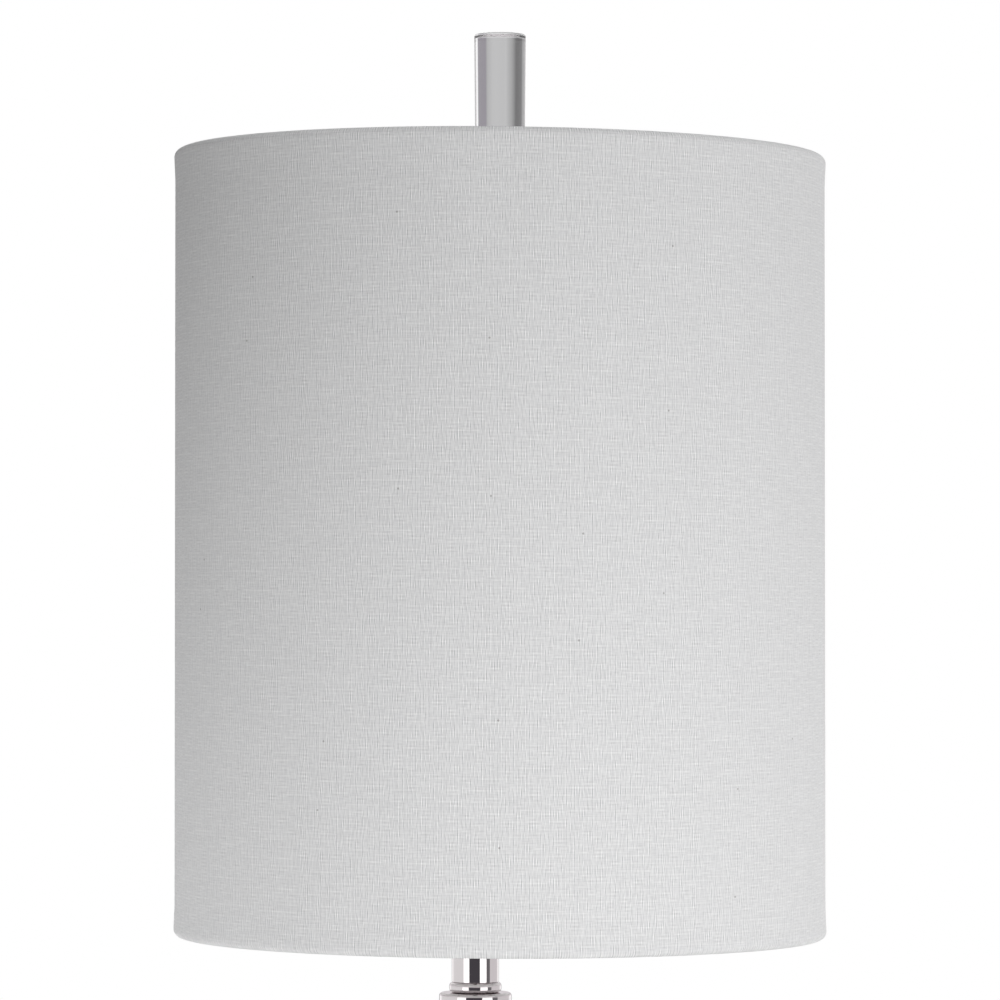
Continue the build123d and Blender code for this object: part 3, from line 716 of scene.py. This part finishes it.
def is_seam(centre):
    """Whether a face is in the three columns at the back of the wall."""
    off = centre - shade_axis
    at_back = abs(math.atan2(off.x, off.y)) < 1.5 * math.tau / shade_steps
    on_wall = rim_bottom + swell_reach < off.z < rim_top - swell_reach
    return at_back and on_wall and math.hypot(off.x, off.y) > wall - cloth_thick / 2


only(linen)
bpy.ops.object.mode_set(mode="EDIT")
bpy.ops.mesh.select_mode(type="FACE")
mesh = bmesh.from_edit_mesh(linen.data)
for face in mesh.faces:
    face.select_set(is_seam(face.calc_center_median()))
bmesh.update_edit_mesh(linen.data)
bpy.ops.mesh.extrude_region_shrink_fatten(TRANSFORM_OT_shrink_fatten={"value": seam_lift})
bpy.ops.mesh.select_mode(type="VERT")
bpy.ops.object.mode_set(mode="OBJECT")
print("linen faces with the lapped seam:", len(linen.data.polygons))

# %% [markdown]
# The weave has to follow the cloth, so the skin gets a map of its own in metres: round the drum for the
# warp's place, and up the wall and over the fold for the weft's. The map starts at the back, where the
# seam hides it.

# %% Map of the cloth
cloth_map = linen.data.uv_layers.new(name="cloth")
for face in linen.data.polygons:
    centre = face.center - shade_axis
    start = math.atan2(centre.x, -centre.y)
    for corner in face.loop_indices:
        off = linen.data.vertices[linen.data.loops[corner].vertex_index].co - shade_axis
        swing = math.atan2(off.x, -off.y) - start
        swing = (swing + math.pi) % math.tau - math.pi
        radius = math.hypot(off.x, off.y)
        cloth_map.data[corner].uv = ((start + swing) * wall, off.z + rim - radius)
apply_modifier(linen, "LATTICE", object=drum_lattice)
finish_piece(linen, "white_linen", "shade", "shade_fabric")

# %% [markdown]
# ## Liner, rings and spider
# Behind the linen is the stiff white sheet that keeps the drum round. A wire ring runs inside each fold,
# and three wires from the upper ring hold a washer in the middle: the spider, which sits on the harp. The
# rings are small circles spun about the shade's axis, and the spider's arms are bent wires, copied by a
# spin.

# %% Liner
outer, low, high = span("shade_liner")
liner_thick = 0.5 * MM
liner = turn_piece(
    "liner_sheet",
    [(outer - liner_thick, low), (outer, low), (outer, high), (outer - liner_thick, high)],
    shade_axis,
    steps=shade_steps,
)
apply_modifier(liner, "LATTICE", object=drum_lattice)
finish_piece(liner, "styrene", "shade", "shade_liner")

# %% Rings
wire_radius = (ring_top - ring_bottom) / 2
for name, node in (("rim_wire_top", "shade_top_ring"), ("rim_wire_bottom", "shade_bottom_ring")):
    outer, low, high = span(node)
    section = [
        (outer - wire_radius + wire_radius * math.cos(a), (low + high) / 2 + wire_radius * math.sin(a))
        for a in (math.tau * i / 16 for i in range(16))
    ]
    ring = turn_piece(name, section, shade_axis, steps=144)
    apply_modifier(ring, "LATTICE", object=drum_lattice)
    finish_piece(ring, "nickel_wire", "shade", node)

# %% Spider arms
washer_r, washer_bottom, washer_top = span("spider_washer")
stud_clear = 3.45 * MM
arm_level = (washer_bottom + washer_top) / 2
arm_end = ring_r - wire_radius
spider_bend = 3.5 * MM
ring_level = (ring_top + ring_bottom) / 2
back = Vector((0, 1, 0))
arm_path = [
    shade_axis + back * (washer_r - 3 * MM) + up * arm_level,
    shade_axis + back * arm_end + up * arm_level,
    shade_axis + back * arm_end + up * (ring_level - wire_radius),
]
arms = bend_wire("spider_wires", arm_path, [0, spider_bend, 0], 2 * wire_radius)
only(arms)
bpy.ops.object.mode_set(mode="EDIT")
bpy.ops.mesh.select_all(action="SELECT")
bpy.ops.mesh.spin(steps=2, angle=math.radians(240), dupli=True, center=shade_axis, axis=up)
bpy.ops.object.mode_set(mode="OBJECT")
apply_modifier(arms, "LATTICE", object=drum_lattice)
bpy.data.objects.remove(drum_lattice)
finish_piece(arms, "nickel_wire", "shade", "spider_arms")

# %% Spider washer
washer = turn_piece(
    "spider_disc",
    [
        (stud_clear, washer_bottom, 0.3 * MM),
        (washer_r, washer_bottom, 0.6 * MM),
        (washer_r, washer_top, 0.6 * MM),
        (stud_clear, washer_top, 0.3 * MM),
    ],
    shade_axis,
)
finish_piece(washer, "nickel_wire", "shade", "spider_washer")

# %% [markdown]
# ## The finial
# A turned nickel cup holds the crystal rod and screws onto the harp's stud. The rod is cut very slightly
# wider at its top than at its root, with a rounded upper edge and a flat end, and it stands in a shallow
# recess in the cup. It is drawn a tenth of a millimetre clear of the cup all round, the room that the
# clear cement takes.

# %% Finial bush
outer, cup_low, cup_top = span("finial_base")
rod_r, rod_low, rod_top = span("finial_crystal")
bush_r, bush_low, bush_top = span("finial_insert")
root_r = 9.7 * MM
waist_r = 8 * MM
cup_r = 10.6 * MM
cup_edge = 0.6 * MM
foot_tall = 3 * MM
cup_tall = 6 * MM
fit = 0.1 * MM
stud_bore = 3.25 * MM
rod_edge = 1.0 * MM
bush = turn_piece(
    "finial_bush_brass",
    [(stud_bore, bush_low, 0.4 * MM), (bush_r, bush_low), (bush_r, bush_top), (stud_bore, bush_top)],
    shade_axis,
    steps=48,
)
finish_piece(bush, "turned_brass", "finial_bush", "finial_insert")

# %% Finial cup
cup = turn_piece(
    "finial_cup",
    [
        (bush_r + fit, cup_low),
        (outer, cup_low, cup_edge),
        (outer, cup_low + foot_tall, cup_edge),
        (waist_r, cup_low + foot_tall, cup_edge * 2),
        (waist_r, cup_top - cup_tall, cup_edge * 2),
        (cup_r, cup_top - cup_tall, cup_edge),
        (cup_r, cup_top, cup_edge / 2),
        (root_r + fit, cup_top, cup_edge / 4),
        (root_r + fit, rod_low),
        (0, rod_low),
        (0, bush_top + fit),
        (bush_r + fit, bush_top + fit),
    ],
    shade_axis,
)
finish_piece(cup, "polished_nickel", "finial", "finial_base")

# %% Crystal rod
rod = turn_piece(
    "crystal_rod",
    [(0, rod_low + fit), (root_r, rod_low + fit, 0.3 * MM), (rod_r, rod_top, rod_edge), (0, rod_top)],
    shade_axis,
    steps=160,
    closed=False,
    segments=12,
)
finish_piece(rod, "clear_crystal", "finial", "finial_crystal")

# %% [markdown]
# ## Column, collars and neck
# The stem is a stack on a hidden pipe: a ring and a collar on the base, the long tube, a second collar, a
# bead and the thinner neck that goes up into the shade. Every edge is broken by a small radius, because a
# polished edge always shows a bright line, and a perfectly sharp one never does.

# %% Stem
pipe_clear = 5.1 * MM
tube_wall = 1.2 * MM
burr = 0.25 * MM
collar_edge = 1.2 * MM
bead_edge = 1.6 * MM
column_r, column_low, column_top = span("column_tube")
neck_r, neck_low, neck_top = span("neck_tube")
ring_out, ring_low, ring_high = span("lower_ring")
collar_r, collar_low, _ = span("lower_collar")
_, _, collar_top = span("upper_collar")
bead_r, _, _ = span("neck_ring")
cap_r, _, cap_top = span("neck_cap")


def stem_piece(name, node, bore, radius, low, high, edge):
    """Turns one length of the stem with both outer edges rounded."""
    piece = turn_piece(
        name, [(bore, low), (radius, low, edge), (radius, high, edge), (bore, high)], steps=128, segments=8
    )
    return finish_piece(piece, "polished_nickel", "lamp", node)


stem_piece("ring_on_base", "lower_ring", pipe_clear, ring_out, ring_low, ring_high, bead_edge)
stem_piece("collar_below", "lower_collar", pipe_clear, collar_r, collar_low, column_low, collar_edge)
stem_piece("column_polished", "column_tube", column_r - tube_wall, column_r, column_low, column_top, burr)
stem_piece("collar_above", "upper_collar", pipe_clear, collar_r, column_top, collar_top, collar_edge)
stem_piece("neck_bead", "neck_ring", pipe_clear, bead_r, collar_top, neck_low, bead_edge)
stem_piece("neck_polished", "neck_tube", neck_r - tube_wall, neck_r, neck_low, neck_top, burr)
stem_piece("neck_plug", "neck_cap", pipe_clear, cap_r, neck_top, cap_top, collar_edge)

# %% [markdown]
# ## The base
# A spun steel cover in two steps hides an iron weight. Spinning leaves generous radii: full on the outer
# edges and smaller in the root where the upper step rises. The cord's bushing sits in a hole in its back,
# which is cut with a boolean, and felt underneath keeps the iron off the table.

# %% Base
base_r = (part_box("base_shell")[1].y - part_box("base_shell")[0].y) / 2
_, base_low, base_top = span("base_shell")
step_r = 52 * MM
land = 18 * MM
sheet = 1.5 * MM
edge = 3.5 * MM
root = 2 * MM
base = turn_piece(
    "base_spun",
    [
        (base_r, base_low, 0.5 * MM),
        (base_r, land, edge),
        (step_r, land, root),
        (step_r, base_top, edge),
        (pipe_clear, base_top),
        (pipe_clear, base_top - sheet),
        (step_r - sheet, base_top - sheet, edge - sheet),
        (step_r - sheet, land - sheet, root + sheet),
        (base_r - sheet, land - sheet, edge - sheet),
        (base_r - sheet, base_low),
    ],
    steps=192,
    segments=10,
)
bush_low_corner, bush_high_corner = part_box("cord_bushing")
inlet = Vector((0, base_r, (bush_low_corner.z + bush_high_corner.z) / 2))
barrel_r = 5 * MM
cut_away(base, drill_bit(barrel_r + fit, inlet - back * 12 * MM, inlet + back * 12 * MM))
finish_piece(base, "polished_nickel", "lamp", "base_shell")

# %% Inlet bushing
inlet_bore = 3.5 * MM
flange_r = 7 * MM
flange = 2 * MM
lip = 0.5 * MM
bushing = turn_piece(
    "cord_inlet_bushing",
    [
        (inlet_bore, bush_low_corner.y - base_r, 0.4 * MM),
        (barrel_r - lip, bush_low_corner.y - base_r, 0.3 * MM),
        (barrel_r + lip, -sheet - 3 * lip),
        (barrel_r + lip, -sheet - lip, 0.2 * MM),
        (barrel_r, -sheet - lip),
        (barrel_r, 0),
        (flange_r, 0, 0.2 * MM),
        (flange_r, flange, flange / 2),
        (inlet_bore, flange, flange / 2),
    ],
    inlet,
    back,
    steps=64,
)
finish_piece(bushing, "black_nylon", "lamp", "cord_bushing")

# %% Felt and board
felt_r, felt_low, felt_top = span("felt_pad")
felt = turn_piece(
    "felt_disc",
    [(0, felt_low), (felt_r, felt_low, 0.8 * MM), (felt_r, felt_top, 0.4 * MM), (0, felt_top)],
    steps=128,
    closed=False,
)
finish_piece(felt, "black_felt", "lamp", "felt_pad")
board_r, board_low, board_top = span("base_cover")
board = turn_piece(
    "base_board",
    [(0, board_low), (board_r, board_low, 0.2 * MM), (board_r, board_top, 0.2 * MM), (0, board_top)],
    steps=128,
    closed=False,
)
finish_piece(board, "fibre_board", "lamp", "base_cover")

# %% [markdown]
# ## The harp
# A bow of stout wire stands on a bent saddle and carries the shade past the bulb. Its ends are halved and
# lie against half-round tongues on the saddle, and a sleeve drops over each pair to lock it: lift the
# sleeves, squeeze the bow and it comes off. On this lamp the bow leans, so its crown stands on the
# shade's axis.

# %% Harp bow
wire_low, wire_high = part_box("harp_wire")
wire_d = wire_high.y - wire_low.y
leg = 28 * MM
belly = 52 * MM
crown = 14 * MM
saddle_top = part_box("harp_saddle")[0].z + 2 * MM
spread_start = saddle_top + 58 * MM
belly_low = saddle_top + 115 * MM
belly_high = saddle_top + 198 * MM
shoulder = wire_low.z
crown_z = wire_high.z - wire_d / 2
side_bend = 60 * MM
crown_bend = 14 * MM


def bow_point(side, half, z):
    """A corner of the bow, shifted with the bow's lean."""
    shift = shade_axis.x * max(0, z - spread_start) / (crown_z - spread_start)
    return Vector((shift + side * half, 0, z))


rising = [(leg, shoulder), (leg, spread_start), (belly, belly_low), (belly, belly_high), (crown, crown_z)]
bow_path = [bow_point(1, half, z) for half, z in rising]
bow_path += [bow_point(-1, half, z) for half, z in reversed(rising)]
bends = [0, side_bend, side_bend, side_bend, crown_bend]
bow = bend_wire("harp_bow", bow_path, bends + bends[::-1], wire_d)
lap = 12.1 * MM
for side in (1, -1):
    bpy.ops.object.select_all(action="DESELECT")
    middle = Vector((side * (leg + wire_d / 2), 0, shoulder + lap / 2 - MM / 2))
    bpy.ops.mesh.primitive_cube_add(size=1, location=middle)
    block = bpy.context.object
    block.scale = (wire_d, 2 * wire_d, lap + MM)
    cut_away(bow, block)
finish_piece(bow, "nickel_wire", "lamp", "harp_wire")

# %% Harp saddle
saddle_low, saddle_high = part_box("harp_saddle")
strip = 2 * MM
strip_width = saddle_high.y - saddle_low.y
arm = saddle_high.x - strip
saddle_bend = 5 * MM
saddle = start_piece("harp_saddle_strip")
edge_y = saddle_low.y
corners = [(-arm, shoulder), (-arm, saddle_top), (arm, saddle_top), (arm, shoulder)]
line = [Vector((x, edge_y, z)) for x, z in corners]
pull_line(saddle, line, [0, saddle_bend, saddle_bend, 0], False, 10)
bpy.ops.mesh.select_all(action="SELECT")
bpy.ops.mesh.extrude_edges_move(TRANSFORM_OT_translate={"value": (0, strip_width, 0)})
bpy.ops.mesh.select_all(action="SELECT")
bpy.ops.mesh.normals_make_consistent(inside=False)
bpy.ops.object.mode_set(mode="OBJECT")
floor_face = min(saddle.data.polygons, key=lambda face: (face.center - up * saddle_top).length)
apply_modifier(saddle, "SOLIDIFY", thickness=strip, offset=-1 if floor_face.normal.z > 0 else 1)
sharp = math.radians(50)
apply_modifier(saddle, "BEVEL", width=0.4 * MM, segments=3, limit_method="ANGLE", angle_limit=sharp)
cut_away(saddle, drill_bit(pipe_clear, up * (saddle_top - 9 * MM), up * (saddle_top + 9 * MM)))
only(saddle)
bpy.ops.object.mode_set(mode="EDIT")
tongue_tall = saddle_high.z - shoulder + MM
tongue_z = (saddle_high.z + shoulder - MM) / 2
for side in (-1, 1):
    bpy.ops.mesh.select_all(action="DESELECT")
    bpy.ops.mesh.primitive_cylinder_add(
        vertices=32, radius=wire_d / 2, depth=tongue_tall, location=(side * leg, 0, tongue_z)
    )
    bpy.ops.mesh.bisect(plane_co=(side * arm, 0, 0), plane_no=(side, 0, 0), clear_inner=True, use_fill=True)
close_up(saddle)
finish_piece(saddle, "nickel_wire", "lamp", "harp_saddle")
print("saddle box in mm:", [round(v / MM, 1) for v in saddle.dimensions])

# %% Harp sleeves
sleeve_wall = MM
for side, word in ((-1, "left"), (1, "right")):
    node = "harp_sleeve_" + word
    outer, low, high = span(node)
    corners = [
        (outer - sleeve_wall, low, 0.3 * MM),
        (outer, low, 0.3 * MM),
        (outer, high, 0.5 * MM),
        (outer - sleeve_wall, high, 0.3 * MM),
    ]
    sleeve = turn_piece("locking_sleeve_" + word, corners, Vector((side * leg, 0, 0)), steps=48)
    finish_piece(sleeve, "nickel_wire", node, node)

# %% [markdown]
# ## Threads
# The stud on the harp and the cap of the bulb are threaded. A Screw modifier winds a closed tooth round
# the core, which is what a die or a roller does, and the tooth's ends are then filled. The pitches are
# the real ones: 27 turns to the inch on the stud and 7 on the bulb.


# %% Thread tool
def wind_thread(name, tooth, pitch, turns, foot):
    """Winds a closed tooth of (radius, height) corners up a helix about an axis."""
    piece = start_piece(name)
    places = [Vector((radius, 0, height)) for radius, height in tooth]
    pull_line(piece, places, [0] * len(places), True, 1)
    bpy.ops.object.mode_set(mode="OBJECT")
    winding = {"axis": "Z", "angle": math.tau, "screw_offset": pitch, "iterations": turns}
    apply_modifier(piece, "SCREW", **winding, steps=40, render_steps=40)
    bpy.ops.object.mode_set(mode="EDIT")
    bpy.ops.mesh.select_all(action="SELECT")
    bpy.ops.mesh.fill_holes(sides=len(tooth))
    bpy.ops.mesh.select_all(action="SELECT")
    bpy.ops.transform.translate(value=foot)
    return close_up(piece)


def join_onto(piece, extra):
    """Joins a second object into a piece."""
    bpy.ops.object.select_all(action="DESELECT")
    extra.select_set(True)
    piece.select_set(True)
    bpy.context.view_layer.objects.active = piece
    bpy.ops.object.join()


# %% Shade seat and stud
seat_r, boss_low, stud_top = span("harp_stud")
seat_top = washer_bottom
seat_thick = 2.4 * MM
boss_r = 5.5 * MM
stud_r = 3.15 * MM
tooth_deep = 0.35 * MM
wire_slot = 5.2 * MM
stud_pitch = 25.4 * MM / 27
seat = turn_piece(
    "shade_seat",
    [
        (0, boss_low),
        (boss_r, boss_low, 0.5 * MM),
        (boss_r, seat_top - seat_thick, 0.3 * MM),
        (seat_r, seat_top - seat_thick, 0.6 * MM),
        (seat_r, seat_top, 0.6 * MM),
        (stud_r - tooth_deep, seat_top),
        (stud_r - tooth_deep, stud_top, 0.6 * MM),
        (0, stud_top),
    ],
    shade_axis,
    steps=72,
    closed=False,
)
bpy.ops.object.select_all(action="DESELECT")
bpy.ops.mesh.primitive_cube_add(size=1, location=shade_axis + up * (boss_low - MM / 2 + wire_slot / 2))
block = bpy.context.object
block.scale = (2 * boss_r + MM, wire_d + 2 * fit, wire_slot + MM)
cut_away(seat, block)
tooth = [
    (stud_r - 1.3 * tooth_deep, 0),
    (stud_r, stud_pitch * 0.40),
    (stud_r, stud_pitch * 0.50),
    (stud_r - 1.3 * tooth_deep, stud_pitch * 0.90),
]
turns = int((stud_top - seat_top - 1.4 * MM) / stud_pitch)
join_onto(seat, wind_thread("stud_thread", tooth, stud_pitch, turns, shade_axis + up * (seat_top + 0.3 * MM)))
finish_piece(seat, "nickel_wire", "lamp", "harp_stud")

# %% [markdown]
# ## Socket and switch
# A spun cap screws onto the pipe, and a thin shell with a rolled mouth stands in it. The turn switch's
# fluted knob comes out of the front. Inside are the insulator, the brass screw shell and the contacts,
# which the CAD holds at full detail, so those keep their CAD shape and get new finishes.

# %% Socket cap
cap_out, _, cap_high = span("socket_cap")
hub_r = 8 * MM
hub_top = saddle_top + 6 * MM
flare_top = hub_top + 6 * MM
cap_sheet = 0.8 * MM
spun = 2 * MM
socket_cap = turn_piece(
    "socket_cap_spun",
    [
        (pipe_clear, saddle_top),
        (hub_r, saddle_top, 0.3 * MM),
        (hub_r, hub_top, spun),
        (cap_out, flare_top, spun),
        (cap_out, cap_high, 0.35 * MM),
        (cap_out - cap_sheet, cap_high, 0.35 * MM),
        (cap_out - cap_sheet, flare_top + cap_sheet / 2, spun),
        (hub_r - cap_sheet, hub_top + cap_sheet),
        (pipe_clear, hub_top + cap_sheet),
    ],
    steps=96,
)
finish_piece(socket_cap, "nickel_shell", "lamp", "socket_cap")

# %% Socket shell
lip_out, shell_low, mouth = span("socket_shell")
shell_r = 16.5 * MM
shell_wall = 0.6 * MM
groove = 9 * MM
lip_tall = 1.6 * MM
shaft_hole = 2.6 * MM
shaft_low, shaft_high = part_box("switch_shaft")
shaft_z = (shaft_low.z + shaft_high.z) / 2
front = Vector((0, -1, 0))
shell = turn_piece(
    "socket_shell_drawn",
    [
        (shell_r - shell_wall, shell_low),
        (shell_r, shell_low),
        (shell_r, mouth - groove - MM, 2 * MM),
        (shell_r - 0.35 * MM, mouth - groove, MM),
        (shell_r, mouth - groove + MM, 2 * MM),
        (shell_r, mouth - lip_tall, 0.3 * MM),
        (lip_out, mouth - lip_tall, 0.3 * MM),
        (lip_out, mouth, 0.3 * MM),
        (shell_r - shell_wall, mouth, 0.2 * MM),
    ],
    steps=96,
)
cut_away(shell, drill_bit(shaft_hole, up * shaft_z, up * shaft_z + front * 30 * MM))
finish_piece(shell, "nickel_shell", "lamp", "socket_shell")

# %% Switch knob
knob_low, knob_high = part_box("switch_knob")
knob_r = (knob_high.x - knob_low.x) / 2
knob_in, knob_out = -knob_high.y, -knob_low.y
knob_edge = MM
shaft_r = (shaft_high.x - shaft_low.x) / 2
bore_end = knob_out - 6.5 * MM
flutes = 10
flute_r = 0.8 * MM
knob = turn_piece(
    "switch_knob_fluted",
    [
        (0, knob_out),
        (knob_r - 2 * MM, knob_out, MM),
        (knob_r, knob_out - 0.6 * MM, knob_edge),
        (knob_r, knob_in, knob_edge),
        (shaft_r, knob_in),
        (shaft_r, bore_end),
        (0, bore_end),
    ],
    up * shaft_z,
    front,
    steps=80,
    closed=False,
)

# %% Flutes and spindle
gouge = drill_bit(
    flute_r,
    up * shaft_z + front * (knob_in + 2 * MM) + Vector((knob_r, 0, 0)),
    up * shaft_z + front * (knob_out + MM) + Vector((knob_r, 0, 0)),
)
only(gouge)
bpy.ops.object.transform_apply(location=True, rotation=True, scale=True)
bpy.ops.object.mode_set(mode="EDIT")
bpy.ops.mesh.select_all(action="SELECT")
bpy.ops.mesh.spin(
    steps=flutes - 1, angle=math.tau * (1 - 1 / flutes), dupli=True, center=up * shaft_z, axis=front
)
bpy.ops.object.mode_set(mode="OBJECT")
cut_away(knob, gouge)
finish_piece(knob, "black_phenolic", "switch", "switch_knob")
shaft = turn_piece(
    "switch_spindle",
    [(0, -shaft_high.y), (shaft_r, -shaft_high.y, 0.3 * MM), (shaft_r, -shaft_low.y), (0, -shaft_low.y)],
    up * shaft_z,
    front,
    steps=32,
    closed=False,
)
finish_piece(shaft, "turned_brass", "switch", "switch_shaft")

# %% [markdown]
# ## The bulb
# A white LED bulb stands in the socket: a rolled metal cap, a tapered plastic body and a frosted dome. It
# hides in the shade, but a look from below or above finds it, so its cap has a real thread and its dome a
# true round.

# %% Bulb contact
tip_r, tip_low, tip_top = span("bulb_contact")
cap_thread_r, cap_low_z, cap_top_z = span("bulb_cap")
bulb_pitch = 25.4 * MM / 7
thread_deep = 0.9 * MM
core_r = cap_thread_r - thread_deep
stem_r = 3 * MM
button_tall = 2 * MM
tip = turn_piece(
    "bulb_tip_contact",
    [
        (0, tip_low),
        (tip_r, tip_low, MM),
        (tip_r, tip_low + button_tall, 0.3 * MM),
        (stem_r, tip_low + button_tall),
        (stem_r, tip_top),
        (0, tip_top),
    ],
    steps=48,
    closed=False,
)
finish_piece(tip, "bulb_metal", "bulb_tip", "bulb_contact")

# %% Bulb cap
stem_well = 2.6 * MM
cap = turn_piece(
    "bulb_cap_rolled",
    [
        (stem_r + fit, cap_low_z),
        (core_r, cap_low_z, 2.4 * MM),
        (core_r, cap_top_z - 2 * MM, 0.5 * MM),
        (cap_thread_r, cap_top_z - 1.2 * MM, 0.5 * MM),
        (cap_thread_r, cap_top_z),
        (0, cap_top_z),
        (0, cap_low_z + stem_well),
        (stem_r + fit, cap_low_z + stem_well),
    ],
    steps=80,
)
crest = [
    (core_r - 0.2 * MM + (thread_deep + 0.2 * MM) * math.sin(math.pi * i / 10), bulb_pitch * i / 11)
    for i in range(11)
]
turns = int((cap_top_z - cap_low_z - 6 * MM) / bulb_pitch)
join_onto(cap, wind_thread("bulb_thread", crest, bulb_pitch, turns, up * (cap_low_z + stem_well)))
finish_piece(cap, "bulb_metal", "bulb", "bulb_cap")

# %% Bulb body and dome
_, body_low, body_top = span("bulb_body")
body_neck_r = 14.5 * MM
dome_low, dome_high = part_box("bulb_dome")
ball = 30 * MM
ball_z = dome_high.z - ball
edge_r = math.sqrt(ball**2 - (ball_z - dome_low.z) ** 2)
body = turn_piece(
    "bulb_body_moulded",
    [
        (0, body_low),
        (body_neck_r, body_low, 1.2 * MM),
        (edge_r - 1.5 * MM, body_top - 3.5 * MM, 6 * MM),
        (edge_r, body_top - MM, 0.4 * MM),
        (edge_r - 0.2 * MM, body_top),
        (0, body_top),
    ],
    steps=112,
    closed=False,
)
finish_piece(body, "white_plastic", "bulb", "bulb_body")
low_angle = math.asin((dome_low.z - ball_z) / ball)
arc = [low_angle + (math.pi / 2 - low_angle) * i / 28 for i in range(29)]
dome_line = [(0, dome_low.z)]
dome_line += [(ball * math.cos(a), ball_z + ball * math.sin(a)) for a in arc[:-1]]
dome_line += [(0, ball_z + ball)]
dome = turn_piece("bulb_dome_opal", dome_line, steps=112, closed=False)
finish_piece(dome, "opal_plastic", "bulb", "bulb_dome")

# %% [markdown]
# ## What stays as the CAD made it
# The pieces that are sealed inside keep their CAD shape. Each gets the finish of its own slot, so that a
# taken-apart lamp looks right as well.

# %% Finishes for the CAD pieces that stay
slot_of = {row["node"]: row["material_slot"] for row in frame["record"]["subparts"]}
kept = [node for node in frame["nodes"].values() if not node.hide_render]
for node in kept:
    node.data.materials.clear()
    node.data.materials.append(finishes[slot_of[node.name]])
print("CAD pieces that stay:", sorted(node.name for node in kept))
